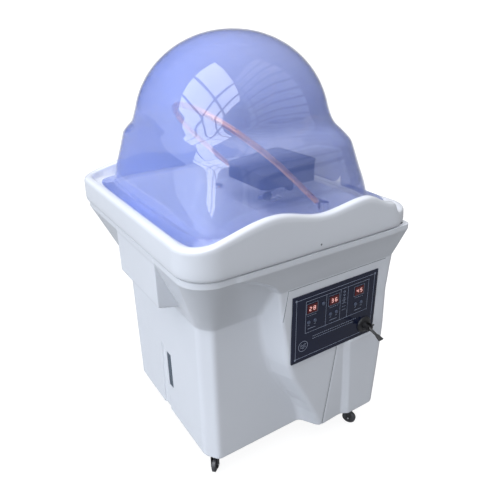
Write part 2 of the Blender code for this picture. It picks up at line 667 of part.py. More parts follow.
def make_mixer():
    """Mixer valve behind the panel, its ring in front, and the lever on its hub."""
    axis = (VALVE_X, VALVE_Z)
    front = PANEL_Y - GAP
    ring = turned([(0.0120, front), (0.0235, front), (0.0225, front - 0.0040), (0.0150, front - 0.0060),
                   (0.0120, front - 0.0060)], "Y", (VALVE_X, 0.0, VALVE_Z))
    new_object("valve_escutcheon", ring, "black_plastic", smooth=True)
    new_object("valve_body", rod(0.0150, PANEL_Y + PANEL_THICK + 0.0010, -0.262, "Y", axis), "galvanised",
               smooth=True)
    pivot_y = front - 0.0180
    hub = new_object("mixer_hub", rod(0.0112, PANEL_Y + 0.0040, pivot_y - 0.0060, "Y", axis),
                     "black_plastic", (VALVE_X, pivot_y, VALVE_Z), smooth=True)
    boolean(hub, span_box((VALVE_X - 0.0046, VALVE_X + 0.0046), (pivot_y - 0.02, pivot_y + 0.0070),
                          (VALVE_Z - 0.02, VALVE_Z + 0.02)))
    boolean(hub, rod(0.0020, VALVE_X - 0.02, VALVE_X + 0.02, "X", (pivot_y, VALVE_Z), steps=12), "UNION")
    make_lever(pivot_y)


def make_lever(pivot_y):
    """A slim rod that drops a little and ends in a flat flared tip."""
    tip_y = -LEVER_REACH
    drop = 0.014
    stations = ((0.0050, 0.0042, 0.0045), (0.0, 0.0042, 0.0050), (-0.0080, 0.0042, 0.0042),
                (-0.0150, 0.0034, 0.0034), (0.6, 0.0036, 0.0030), (0.72, 0.0060, 0.0030),
                (1.0, 0.0085, 0.0022))
    rings = []
    for along, half_x, half_z in stations:
        y = pivot_y + along if along <= 0.0050 else mix(pivot_y, tip_y, along)
        share = (pivot_y - y) / (pivot_y - tip_y)
        centre_z = VALVE_Z - drop * max(share, 0.0)
        rings.append([Vector((VALVE_X + x, y, centre_z + z)) for x, z in
                      ((half_x, -0.5 * half_z), (half_x, 0.5 * half_z), (0.5 * half_x, half_z),
                       (-0.5 * half_x, half_z), (-half_x, 0.5 * half_z), (-half_x, -0.5 * half_z),
                       (-0.5 * half_x, -half_z), (0.5 * half_x, -half_z))])
    lever = new_object("mixer_lever", solid_loft(rings), "black_plastic", (VALVE_X, pivot_y, VALVE_Z))
    boolean(lever, rod(0.0023, VALVE_X - 0.02, VALVE_X + 0.02, "X", (pivot_y, VALVE_Z), steps=12))


# Casters.

def make_casters():
    for name, (x, y, heading) in CASTERS.items():
        angle = math.radians(heading)
        place = Matrix.Translation((x, y, 0.0)) @ Matrix.Rotation(angle, 4, "Z")
        pivot = Vector((x, y, FORK_TOP))
        hub = place @ Vector((TRAIL, 0.0, WHEEL_RADIUS))

        def placed(bm):
            bmesh.ops.transform(bm, matrix=place, verts=bm.verts)
            return bm

        fork = new_object(f"caster_fork_{name}", placed(turned(
            [(0.0, FORK_TOP - 0.0060), (0.0150, FORK_TOP - 0.0060), (0.0150, FORK_TOP), (0.0100, 0.0570),
             (STEM_RADIUS, 0.0570), (STEM_RADIUS, CHASSIS_Z[1] + 0.0040), (0.0, CHASSIS_Z[1] + 0.0040)],
            steps=16)), "black_plastic", pivot, smooth=True)
        for side in (-1, 1):
            low, high = sorted((side * 0.0075, side * FORK_CHEEK))
            boolean(fork, placed(span_box((TRAIL - 0.0080, TRAIL + 0.0065), (low, high),
                                          (WHEEL_RADIUS - 0.0070, FORK_TOP - 0.0020))), "UNION")
        boolean(fork, placed(rod(0.0028, -0.02, 0.02, "Y", (TRAIL, WHEEL_RADIUS), steps=12)))
        half = WHEEL_WIDTH / 2
        wheel = turned([(0.0028, -half), (0.0150, -half), (WHEEL_RADIUS, -half + 0.0025),
                        (WHEEL_RADIUS, half - 0.0025), (0.0150, half), (0.0028, half)], "Y",
                       (TRAIL, 0.0, WHEEL_RADIUS), steps=24)
        new_object(f"caster_wheel_{name}", placed(wheel), "wheel_grey", hub, smooth=True)
        new_object(f"caster_axle_{name}", placed(rod(0.0025, -0.0115, 0.0115, "Y", (TRAIL, WHEEL_RADIUS),
                                                     steps=12)), "galvanised", hub, smooth=True)


# Service side.

def make_service_side():
    back = CABINET_HALF_Y + GAP
    door = new_object("rear_door", span_box(DOOR_X, (back, back + DOOR_THICK), DOOR_Z), "shell_white",
                      (DOOR_X[0], back + DOOR_THICK, DOOR_Z[0]))
    boolean(door, rod(0.0062, back - 0.02, back + 0.02, "Y", (DOOR_X[1] - 0.022, 0.270), steps=16))
    latch_x = DOOR_X[1] - 0.022
    latch_z = 0.270
    face = back + DOOR_THICK
    barrel = turned([(0.0, back - 0.0030), (0.0058, back - 0.0030), (0.0058, face + GAP),
                     (0.0110, face + GAP), (0.0110, face + 0.0040), (0.0, face + 0.0040)],
                    "Y", (latch_x, 0.0, latch_z))
    latch = new_object("door_latch", barrel, "black_plastic", (latch_x, back, latch_z), smooth=True)
    boolean(latch, span_box((latch_x - 0.0015, latch_x + 0.0015), (back + 0.006, back + 0.0125),
                            (latch_z - 0.0085, latch_z + 0.0085)), "UNION")
    inlet = new_object("power_inlet", span_box((INLET_X[0] + GAP, INLET_X[1] - GAP), (0.215, back),
                                               (INLET_Z[0] + GAP, INLET_Z[1] - GAP)), "black_plastic")
    boolean(inlet, span_box((INLET_X[0] - 0.003, INLET_X[1] + 0.003), (back, back + 0.0025),
                            (INLET_Z[0] - 0.003, INLET_Z[1] + 0.003)), "UNION")
    boolean(inlet, span_box((0.202, 0.228), (0.236, back + 0.01), (0.106, 0.124)))
    boolean(inlet, span_box(SWITCH_X, (0.238, back + 0.01), SWITCH_Z))
    middle_z = (SWITCH_Z[0] + SWITCH_Z[1]) / 2
    pivot = (sum(SWITCH_X) / 2, 0.2475, middle_z)
    rings = [[Vector((x, y, middle_z + z)) for y, z in
              ((0.2420, -0.0060), (0.2420, 0.0060), (0.2560, 0.0070), (0.2535, 0.0), (0.2530, -0.0070))]
             for x in (SWITCH_X[0] + 0.0005, SWITCH_X[1] - 0.0005)]
    new_object("rocker_switch", solid_loft(rings), "display_red", pivot)


def make_level_window():
    y, z = LEVEL_WINDOW_Y, LEVEL_WINDOW_Z
    pane = span_box((CABINET_LEFT + 0.0010, CABINET_LEFT + 0.0045), (y[0] + GAP, y[1] - GAP),
                    (z[0] + GAP, z[1] - GAP))
    new_object("level_window", pane, "window_smoke")


# Inner works, standing on the chassis plate.

def make_inner_works():
    floor = CHASSIS_Z[1] + GAP
    tank = new_object("water_tank", span_box((-0.205, -0.060), (-0.180, 0.180), (floor, 0.330)),
                      "tank_natural")
    bevel(tank, 0.006, 2)
    boolean(tank, span_box((-0.201, -0.064), (-0.176, 0.176), (floor + 0.004, 0.326)))
    boolean(tank, rod(0.018, 0.30, 0.36, centre=(-0.100, -0.110)))
    pump = new_object("circulation_pump", rod(0.034, -0.030, 0.060, "X", (-0.110, floor + 0.036)),
                      "black_plastic", smooth=True)
    boolean(pump, rod(0.040, 0.045, 0.085, "X", (-0.110, floor + 0.041)), "UNION")
    boolean(pump, rod(0.009, floor + 0.060, floor + 0.110, centre=(0.065, -0.110)), "UNION")
    new_object("inline_heater", rod(0.030, floor + 0.001, floor + 0.200, centre=(0.000, 0.060)),
               "galvanised", smooth=True)
    new_object("water_filter", rod(0.036, floor + 0.001, floor + 0.180, centre=(0.080, 0.080)),
               "tank_natural", smooth=True)
    generator = new_object("mist_generator", span_box((0.130, 0.230), (0.020, 0.160), (floor, 0.240)),
                           "shell_white")
    bevel(generator, 0.006, 2)
    boolean(generator, rod(0.012, 0.220, 0.280, centre=(0.170, 0.120)), "UNION")
    hose("mist_duct", [(0.170, 0.120, 0.2815), (0.170, 0.120, 0.340), (0.140, 0.150, 0.430),
                       (0.075, 0.185, 0.530), (*NOZZLE, 0.600), (*NOZZLE, 0.6290)], 0.0120, "hose_grey")
    nozzle = turned([(0.0080, 0.6300), (NOZZLE_RADIUS, 0.6300), (NOZZLE_RADIUS, SHELF_Z + 0.0010),
                     (0.0180, SHELF_Z + 0.0010), (0.0160, SHELF_Z + 0.0060), (0.0080, SHELF_Z + 0.0075)],
                    centre=(*NOZZLE, 0.0))
    new_object("mist_nozzle", nozzle, "chrome", smooth=True)
    new_object("control_board", span_box((-0.020, 0.170), (-0.3120, -0.3104), (0.400, 0.508)), "board_green")
    hose("supply_hose", [(0.065, -0.110, floor + 0.112), (0.065, -0.110, 0.260), (0.100, -0.160, 0.330),
                         (0.180, -0.210, 0.368), (VALVE_X, -0.235, VALVE_Z), (VALVE_X, -0.2600, VALVE_Z)],
         0.0070, "hose_grey")


clear_scene()
MATERIALS = make_materials()
DATUM = bpy.data.objects.new("machine_datum", None)
DATUM.location = (0.0, DATUM_Y, 0.0)
bpy.context.scene.collection.objects.link(DATUM)

make_cabinet()
make_chassis()
make_basin()
make_drain()
make_hood()
make_arch()
make_headrest()
make_panel()
make_mixer()
make_casters()
make_service_side()
make_level_window()
make_inner_works()
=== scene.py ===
"""Portable head spa basin: the visible model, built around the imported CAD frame.

Shapes are worked out in datum coordinates, whose origin is the centre of the basin's footprint on
the floor. The datum sits DATUM_Y behind the frame's origin. All lengths are in metres.
"""
import json
import math

import bmesh
import bpy
import numpy as np
from mathutils import Matrix, Vector


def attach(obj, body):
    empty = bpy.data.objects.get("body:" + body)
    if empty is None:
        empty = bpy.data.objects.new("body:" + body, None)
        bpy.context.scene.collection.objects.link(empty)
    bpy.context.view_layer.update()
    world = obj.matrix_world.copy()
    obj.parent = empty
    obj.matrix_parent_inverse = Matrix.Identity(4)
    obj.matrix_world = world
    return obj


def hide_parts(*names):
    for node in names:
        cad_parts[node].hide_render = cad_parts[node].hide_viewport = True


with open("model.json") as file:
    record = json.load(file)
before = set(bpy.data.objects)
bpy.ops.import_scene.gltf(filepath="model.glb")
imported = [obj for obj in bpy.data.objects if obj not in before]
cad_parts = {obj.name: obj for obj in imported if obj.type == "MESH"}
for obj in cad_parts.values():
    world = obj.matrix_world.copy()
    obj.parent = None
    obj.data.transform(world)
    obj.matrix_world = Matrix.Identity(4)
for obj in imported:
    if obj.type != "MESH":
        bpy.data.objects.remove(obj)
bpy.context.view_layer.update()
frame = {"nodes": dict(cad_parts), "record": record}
NODES = frame["nodes"]

# Driving dimensions, the same as in the CAD.
DATUM_Y = 0.0145
SEAM_X, SEAM_Y, SEAM_Z = 0.312, 0.356, 0.651
SHELL_EDGE_X, SHELL_EDGE_Y = SEAM_X - 0.0005, SEAM_Y - 0.0005
SHELL_TOP_Z = 0.6496
SEAM_RADIUS, BAND_FLARE = 0.071, 0.006
CABINET_Z, WAIST_Z, FLARE_TOP_Z = 0.061, 0.465, 0.637
FLARE_POWER = 1.05
CABINET_LEFT, CABINET_RIGHT, CABINET_HALF_Y, CABINET_RADIUS = -0.241, 0.290, 0.2525, 0.042
BLOCK_Y = (-0.172, 0.070)
SURROUND_TOP_Z = (0.5480, 0.5525)
LEVEL_WINDOW_Y, LEVEL_WINDOW_Z = (-0.041, -0.015), (0.163, 0.280)
DOOR_X = (-0.120, 0.140)
DOORWAY_X, DOORWAY_Z = (-0.110, 0.130), (0.130, 0.410)
INLET_X, INLET_Z = (0.190, 0.240), (0.100, 0.160)
RIM_LOW = 0.694
RIM_WAVE = ((-0.312, 0.722), (-0.110, 0.759), (0.020, 0.737), (0.145, 0.752), (0.235, 0.722),
            (0.256, RIM_LOW), (0.320, RIM_LOW))
LEDGE_Z, SHELF_Z, BOWL_Z = 0.704, 0.656, 0.575
SHELF_START, SHELF_END = -0.010, 0.050
DRAIN = Vector((-0.090, 0.0))
DRAIN_RADIUS = 0.022
HOOD_WALL, HOOD_TOP_Z, HOOD_SHOULDER_Z, DOME_Z = 0.003, 1.105, 0.838, 0.907
HOOD_LIP, HOOD_FOOT, HOOD_CREASE = (0.281, 0.325), (0.258, 0.303), (0.253, 0.300)
HOOD_CREASE_Z, HOOD_LIP_ROOT = 0.755, (0.270, 0.3135)
HOOD_SHOULDER, DOME_BASE = (0.233, 0.277), (0.226, 0.226)
HOOD_SHOULDER_SQUARE = 5.0
DOME_SHIFT, DOME_POWER, DOME_SQUARE = (0.017, 0.014), 2.07, (3.0, 2.02)
NECK_HALF, NECK_TOP_Z, NECK_CORNER = 0.150, 0.838, 0.040
CURTAIN_THICK, CURTAIN_GAP = 0.0010, 0.0004
ARCH_X, ARCH_Z, ARCH_HALF, ARCH_LEG, ARCH_TUBE = 0.132, 0.695, 0.205, 0.150, 0.0072
ARCH_TILT = math.radians(46.8)
PANEL_X, PANEL_Z, PANEL_Y, PANEL_THICK = (-0.040, 0.240), (0.340, 0.530), -0.326, 0.004
FACE_Y = PANEL_Y + PANEL_THICK + 0.0003
DISPLAYS = {"left": (0.020, "28"), "middle": (0.090, "36"), "right": (0.176, "45")}
DISPLAY_Z = 0.486
CUSHION_X, CUSHION_Y, CUSHION_Z = (0.036, 0.218), 0.095, 0.7155
CUSHION_TOP_Z = (0.757, 0.777)
CUSHION_RADIUS = 0.018

# Shape of the control housing: height, ridge, foot and front face at each level.
HOUSING_LEVELS = np.array((
    (0.050, 0.087, 0.051, -0.3055), (0.061, 0.083, 0.050, -0.3065), (0.084, 0.075, 0.047, -0.3080),
    (0.120, 0.060, 0.040, -0.3100), (0.160, 0.040, 0.024, -0.3124), (0.202, 0.019, -0.006, -0.3148),
    (0.283, -0.025, -0.052, -0.3188), (0.330, -0.041, -0.067, -0.3210), (0.348, -0.044, -0.072, FACE_Y),
    (0.401, -0.052, -0.081, FACE_Y), (0.462, -0.064, -0.086, FACE_Y), (0.552, -0.076, -0.090, FACE_Y),
    (0.580, -0.098, -0.108, -0.3335), (0.610, -0.140, -0.146, -0.3450), (0.637, -0.200, -0.204, -0.3555),
    (0.660, -0.200, -0.204, -0.3555)))


# Small helpers.

def mix(a, b, t):
    return a + (b - a) * t


def smooth_step(t):
    t = np.clip(t, 0.0, 1.0)
    return t * t * (3 - 2 * t)


def smooth_max(a, b, k):
    h = np.clip(0.5 + 0.5 * (a - b) / k, 0.0, 1.0)
    return b + (a - b) * h + k * h * (1 - h)


def smooth_min(a, b, k):
    return -smooth_max(-a, -b, k)


def wave_height(x):
    """Height of the rim's crest above a place along X."""
    x = np.asarray(x, float)
    height = np.full(x.shape, RIM_WAVE[-1][1])
    for (x0, z0), (x1, z1) in reversed(list(zip(RIM_WAVE, RIM_WAVE[1:]))):
        height = np.where(x <= x1, mix(z0, z1, smooth_step((x - x0) / (x1 - x0))), height)
    return height


def rounded_rectangle(half_x, half_y, radius, side_steps, arc_steps):
    """Counter-clockwise outline as an array, with the same number of points for any size."""
    corners = ((1, -1, -90), (1, 1, 0), (-1, 1, 90), (-1, -1, 180))
    points = []
    for index, (sign_x, sign_y, start) in enumerate(corners):
        middle = np.array((sign_x * (half_x - radius), sign_y * (half_y - radius)))
        for step in range(arc_steps + 1):
            angle = math.radians(start + 90 * step / arc_steps)
            points.append(middle + radius * np.array((math.cos(angle), math.sin(angle))))
        next_x, next_y, next_start = corners[(index + 1) % 4]
        turn = math.radians(next_start)
        target = np.array((next_x * (half_x - radius), next_y * (half_y - radius)))
        target = target + radius * np.array((math.cos(turn), math.sin(turn)))
        last = points[-1]
        points += [mix(last, target, step / side_steps) for step in range(1, side_steps)]
    return np.array(points)


def superellipse(half_x, half_y, power, count):
    angle = 2 * np.pi * (np.arange(count) + 0.5) / count
    c, s = np.cos(angle), np.sin(angle)
    return np.stack((half_x * np.sign(c) * np.abs(c) ** (2 / power),
                     half_y * np.sign(s) * np.abs(s) ** (2 / power)), axis=1)


def at_height(outline, z):
    return np.column_stack((outline, np.broadcast_to(z, len(outline))))


def smooth_rows(rows, steps):
    """More rings between a few control rings, on a Catmull-Rom curve through each column."""
    rows = [2 * rows[0] - rows[1]] + list(rows) + [2 * rows[-1] - rows[-2]]
    result = []
    for a, b, c, d in zip(rows, rows[1:], rows[2:], rows[3:]):
        for step in range(steps):
            t = step / steps
            result.append(0.5 * (2 * b + (c - a) * t + (2 * a - 5 * b + 4 * c - d) * t * t
                                 + (3 * b - a - 3 * c + d) * t ** 3))
    return result + [rows[-2]]


# Objects.

def finished_mesh(name, bm):
    mesh = bpy.data.meshes.new(name)
    bm.to_mesh(mesh)
    bm.free()
    return mesh


def new_piece(name, bm, material, body, smooth=40.0):
    """Link a piece made in datum coordinates, and let it ride on a CAD body."""
    mesh = finished_mesh(name, bm)
    mesh.transform(Matrix.Translation((0.0, DATUM_Y, 0.0)))
    if smooth:
        mesh.shade_smooth()
        mesh.set_sharp_from_angle(angle=math.radians(smooth))
    piece = bpy.data.objects.new(name, mesh)
    piece.data.materials.append(MATERIALS[material])
    bpy.context.scene.collection.objects.link(piece)
    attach(piece, body)
    return piece


def join_rings(bm, pairs):
    """Quads between each pair of closed rings of vertices."""
    for low, high in pairs:
        for index in range(len(low)):
            after = (index + 1) % len(low)
            bm.faces.new((low[index], low[after], high[after], high[index]))


def ring_mesh(rows, cap_first=False, cap_last=False):
    """A surface through closed rings of points of equal length."""
    bm = bmesh.new()
    verts = [[bm.verts.new(point) for point in row] for row in rows]
    join_rings(bm, zip(verts, verts[1:]))
    if cap_first:
        bm.faces.new(list(reversed(verts[0])))
    if cap_last:
        bm.faces.new(verts[-1])
    return bm


def turned(profile, axis="Z", centre=(0.0, 0.0, 0.0), steps=48):
    """A profile of (radius, height) points turned about an axis. Ends on the axis are closed."""
    angle = 2 * np.pi * np.arange(steps) / steps
    bm = bmesh.new()
    rows = []
    for radius, height in profile:
        if radius == 0:
            rows.append([bm.verts.new((0.0, 0.0, height))])
        else:
            rows.append([bm.verts.new((radius * math.cos(a), radius * math.sin(a), height)) for a in angle])
    for low, high in zip(rows, rows[1:]):
        for index in range(steps):
            after = (index + 1) % steps
            if len(low) == 1:
                bm.faces.new((low[0], high[after], high[index]))
            elif len(high) == 1:
                bm.faces.new((low[index], low[after], high[0]))
            else:
                bm.faces.new((low[index], low[after], high[after], high[index]))
    bmesh.ops.recalc_face_normals(bm, faces=bm.faces)
    turn = {"Z": Matrix.Identity(4), "X": Matrix.Rotation(math.pi / 2, 4, "Y"),
            "Y": Matrix.Rotation(-math.pi / 2, 4, "X")}[axis]
    bmesh.ops.transform(bm, matrix=Matrix.Translation(centre) @ turn, verts=bm.verts)
    return bm


def tube_mesh(route, radius, sides=16, closed=False):
    """A round tube along a route of points, with flat ends."""
    route = [Vector(p) for p in route]
    bm = bmesh.new()
    rings = []
    side = None
    for index, point in enumerate(route):
        if closed:
            along = (route[(index + 1) % len(route)] - route[index - 1]).normalized()
        else:
            along = (route[min(index + 1, len(route) - 1)] - route[max(index - 1, 0)]).normalized()
        if side is None:
            side = along.orthogonal().normalized()
        side = (side - along * side.dot(along)).normalized()
        other = along.cross(side)
        rings.append([bm.verts.new(point + radius * (math.cos(a) * side + math.sin(a) * other))
                      for a in (math.tau * k / sides for k in range(sides))])
    join_rings(bm, list(zip(rings, rings[1:])) + ([(rings[-1], rings[0])] if closed else []))
    if not closed:
        bm.faces.new(list(reversed(rings[0])))
        bm.faces.new(rings[-1])
    bmesh.ops.recalc_face_normals(bm, faces=bm.faces)
    return bm


# Materials.

FLOOR_GLOW, FLOOR_REFLECTED = 0.90, 0.14


def principled(name, colour, roughness, metallic=0.0, **sockets):
    material = bpy.data.materials.new(name)
    material.use_nodes = True
    shader = material.node_tree.nodes["Principled BSDF"]
    shader.inputs["Base Color"].default_value = (*colour, 1.0)
    shader.inputs["Roughness"].default_value = roughness
    shader.inputs["Metallic"].default_value = metallic
    for socket, value in sockets.items():
        shader.inputs[socket.replace("_", " ")].default_value = value
    return material, shader


def noise(tree, scale, detail=3.0):
    texture = tree.nodes.new("ShaderNodeTexNoise")
    coordinates = tree.nodes.new("ShaderNodeTexCoord")
    texture.inputs["Scale"].default_value = scale
    texture.inputs["Detail"].default_value = detail
    tree.links.new(coordinates.outputs["Object"], texture.inputs["Vector"])
    return texture.outputs["Fac"]


def ramp(tree, source, low, high, start=0.3, end=0.7):
    """Maps a 0 to 1 signal onto a colour or grey range."""
    node = tree.nodes.new("ShaderNodeValToRGB")
    node.color_ramp.elements[0].position = start
    node.color_ramp.elements[1].position = end
    node.color_ramp.elements[0].color = (*low, 1.0)
    node.color_ramp.elements[1].color = (*high, 1.0)
    tree.links.new(source, node.inputs["Fac"])
    return node.outputs["Color"]


def maths(tree, operation, first, second):
    """A math node. Each input is a number or another node's output."""
    node = tree.nodes.new("ShaderNodeMath")
    node.operation = operation
    for socket, value in zip(node.inputs, (first, second)):
        if isinstance(value, (int, float)):
            socket.default_value = value
        else:
            tree.links.new(value, socket)
    return node.outputs["Value"]


def add_bump(tree, shader, height, strength, distance):
    bump = tree.nodes.new("ShaderNodeBump")
    bump.inputs["Strength"].default_value = strength
    bump.inputs["Distance"].default_value = distance
    tree.links.new(height, bump.inputs["Height"])
    tree.links.new(bump.outputs["Normal"], shader.inputs["Normal"])
    return bump


def varied(name, colour, roughness, metallic=0.0, tone=0.04, grain=90.0, bump=0.05, spread=0.06, **sockets):
    """A surface with slow colour drift, uneven gloss and a fine skin."""
    material, shader = principled(name, colour, roughness, metallic, **sockets)
    tree = material.node_tree
    darker = tuple(max(c * (1 - tone), 0.0) for c in colour)
    lighter = tuple(min(c * (1 + tone), 1.0) for c in colour)
    tree.links.new(ramp(tree, noise(tree, 4.0), darker, lighter), shader.inputs["Base Color"])
    rough_low, rough_high = max(roughness - spread, 0.02), roughness + spread
    tree.links.new(ramp(tree, noise(tree, 17.0), (rough_low,) * 3, (rough_high,) * 3),
                   shader.inputs["Roughness"])
    add_bump(tree, shader, noise(tree, grain, 4.0), bump, 0.0006)
    return material


def vinyl_material():
    """Navy upholstery vinyl: pebbled grain over a soft sheen."""
    material, shader = principled("vinyl_navy", (0.012, 0.020, 0.075), 0.42)
    tree = material.node_tree
    coordinates = tree.nodes.new("ShaderNodeTexCoord")
    cells = tree.nodes.new("ShaderNodeTexVoronoi")
    cells.inputs["Scale"].default_value = 420.0
    tree.links.new(coordinates.outputs["Object"], cells.inputs["Vector"])
    tree.links.new(ramp(tree, noise(tree, 9.0), (0.010, 0.017, 0.062), (0.020, 0.032, 0.100)),
                   shader.inputs["Base Color"])
    tree.links.new(ramp(tree, noise(tree, 30.0), (0.34,) * 3, (0.50,) * 3), shader.inputs["Roughness"])
    add_bump(tree, shader, cells.outputs["Distance"], 0.25, 0.0005)
    return material


def place_along(tree, direction, start, end):
    """0 to 1 between two distances along a level direction, with a little drift."""
    dot = tree.nodes.new("ShaderNodeVectorMath")
    dot.operation = "DOT_PRODUCT"
    dot.inputs[1].default_value = (*direction, 0.0)
    tree.links.new(tree.nodes.new("ShaderNodeTexCoord").outputs["Object"], dot.inputs[0])
    share = maths(tree, "DIVIDE", maths(tree, "SUBTRACT", dot.outputs["Value"], start), end - start)
    return maths(tree, "ADD", share, maths(tree, "MULTIPLY", noise(tree, 4.0), 0.2))


def hood_material():
    """Clear blue acrylic, a little milky. Its colour is painted darker towards the front right, as painted
    shade on the side turned from the light.
    """
    material, shader = principled("hood_blue", (0.24, 0.34, 0.98), 0.06, IOR=1.55)
    tree = material.node_tree
    shader.inputs["Coat Weight"].default_value = 1.0
    shader.inputs["Coat Roughness"].default_value = 0.03
    # Painted shade: the base colour runs from a lighter blue at the back left to a darker blue at the front
    # right (along +X, -Y).
    painted_shade_share = place_along(tree, (0.84, -0.54), -0.25, 0.25)
    tint = ramp(tree, painted_shade_share, (0.19, 0.28, 0.71), (0.15, 0.20, 0.46), 0.1, 1.0)
    tree.links.new(tint, shader.inputs["Base Color"])
    tree.links.new(ramp(tree, noise(tree, 3.0), (0.44,) * 3, (0.49,) * 3), shader.inputs["Alpha"])
    add_bump(tree, shader, noise(tree, 7.0, 1.0), 0.10, 0.0030)
    return material


def emitter(name, colour, strength):
    material, shader = principled(name, colour, 0.3)
    shader.inputs["Emission Color"].default_value = (*colour, 1.0)
    shader.inputs["Emission Strength"].default_value = strength
    tree = material.node_tree
    tree.links.new(ramp(tree, noise(tree, 300.0), tuple(0.9 * c for c in colour), colour),
                   shader.inputs["Base Color"])
    return material


def floor_material():
    """A pale floor that looks white, shows faintly in reflections and lights the object little."""
    material = varied("floor_pale", (0.16, 0.163, 0.166), 0.60, tone=0.01, grain=8.0, bump=0.0)
    tree = material.node_tree
    shader = tree.nodes["Principled BSDF"]
    shader.inputs["Emission Color"].default_value = (1.0, 1.0, 1.0, 1.0)
    path = tree.nodes.new("ShaderNodeLightPath").outputs
    glow = maths(tree, "MAXIMUM", maths(tree, "MULTIPLY", path["Is Camera Ray"], FLOOR_GLOW),
                 maths(tree, "MULTIPLY", path["Is Glossy Ray"], FLOOR_REFLECTED))
    tree.links.new(glow, shader.inputs["Emission Strength"])
    return material


def make_materials():
    return {
        "shell_white": varied("shell_white", (0.80, 0.82, 0.86), 0.24, tone=0.012, grain=55.0, bump=0.006,
                              spread=0.02),
        "hood_blue": hood_material(),
        "copper": varied("copper", (1.00, 0.47, 0.22), 0.28, 0.75, tone=0.04, grain=160.0, bump=0.02),
        "chrome": varied("chrome", (0.80, 0.80, 0.83), 0.10, 1.0, tone=0.02, grain=120.0, bump=0.01,
                         spread=0.04),
        "vinyl_navy": vinyl_material(),
        "black_plastic": varied("black_plastic", (0.018, 0.018, 0.020), 0.36, tone=0.2, grain=400.0,
                                bump=0.10),
        "panel_navy": varied("panel_navy", (0.006, 0.010, 0.034), 0.14, tone=0.15, grain=30.0, bump=0.01,
                             Specular_IOR_Level=0.38),
        "display_red": varied("display_red", (0.10, 0.004, 0.006), 0.10, tone=0.2, grain=50.0, bump=0.01),
        "button_silver": varied("button_silver", (0.09, 0.11, 0.17), 0.34, 0.3, tone=0.08, grain=200.0),
        "window_smoke": varied("window_smoke", (0.05, 0.08, 0.12), 0.08, tone=0.1, grain=60.0, bump=0.01),
        "galvanised": varied("galvanised", (0.55, 0.56, 0.58), 0.42, 0.9, tone=0.15, grain=60.0, bump=0.06),
        "wheel_grey": varied("wheel_grey", (0.05, 0.05, 0.055), 0.45, tone=0.08, grain=300.0, bump=0.10),
        "hose_grey": varied("hose_grey", (0.10, 0.10, 0.11), 0.50, tone=0.10, grain=200.0, bump=0.10),
        "tank_natural": varied("tank_natural", (0.72, 0.73, 0.71), 0.42, tone=0.04, grain=80.0),
        "board_green": varied("board_green", (0.03, 0.18, 0.07), 0.40, tone=0.15, grain=200.0),
        "print_silver": varied("print_silver", (0.32, 0.36, 0.46), 0.40, tone=0.10, grain=300.0),
        # Dark grey of the band screw and the spray holes, and also the painted shade of the dark lines in
        # the housing's front face.
        "dark_grey_and_painted_shade": varied("dark_grey_and_painted_shade", (0.16, 0.17, 0.19), 0.60, tone=0.06, grain=200.0),
        "digit_red": emitter("digit_red", (1.0, 0.52, 0.48), 0.7),
        "floor_pale": floor_material(),
    }


MATERIALS = make_materials()


# Camera, lights and floor.

SKY_BASE, SKY_OVERHEAD, SKY_LEFT = 0.05, 1.85, 2.30
SKY_SEEN = 1.2
HOOD_MIDDLE = Vector((-0.05, -0.05, 0.95))


def add_camera():
    """A standing viewer's view of the front left corner."""
    yaw, pitch, roll = 0.5723, 0.4260, -0.0148
    forward = Vector((math.sin(yaw) * math.cos(pitch), math.cos(yaw) * math.cos(pitch), -math.sin(pitch)))
    right = Vector((math.cos(yaw), -math.sin(yaw), 0.0))
    above = right.cross(forward)
    across = math.cos(roll) * right + math.sin(roll) * above
    upward = -math.sin(roll) * right + math.cos(roll) * above
    data = bpy.data.cameras.new("camera")
    data.sensor_width = 36.0
    data.lens = 35.4
    camera = bpy.data.objects.new("camera", data)
    place = Matrix((across, upward, -forward)).transposed().to_4x4()
    place.translation = Vector((-0.6602, -1.0925, 1.1075))
    camera.matrix_world = place
    bpy.context.scene.collection.objects.link(camera)
    bpy.context.scene.camera = camera


def area_light(name, place, turn, size, power, colour):
    data = bpy.data.lights.new(name, "AREA")
    data.shape = "RECTANGLE"
    data.size, data.size_y = size
    data.energy = power
    data.color = colour
    lamp = bpy.data.objects.new(name, data)
    lamp.visible_diffuse = False
    lamp.matrix_world = Matrix.Translation(place) @ turn.to_4x4()
    bpy.context.scene.collection.objects.link(lamp)


def add_window(name, centre, roll, columns, rows, gap, radiance):
    """A window that faces the hood and shows in glossy surfaces.

    Its lit panes have the given widths and heights, with bars as wide as the gap between them.
    """
    centre = Vector(centre)
    toward = (HOOD_MIDDLE - centre).normalized()
    turn = toward.to_track_quat("-Z", "Y").to_matrix() @ Matrix.Rotation(roll, 3, "Z")
    across, upward = turn @ Vector((1, 0, 0)), turn @ Vector((0, 1, 0))
    left = -(sum(columns) + gap * (len(columns) - 1)) / 2
    for column, width in enumerate(columns):
        bottom = -(sum(rows) + gap * (len(rows) - 1)) / 2
        for row, height in enumerate(rows):
            spot = centre + across * (left + width / 2) + upward * (bottom + height / 2)
            area_light(f"{name}_{column}_{row}", spot, turn, (width, height),
                       math.pi * radiance * width * height, (0.96, 0.98, 1.0))
            bottom += height + gap
        left += width + gap


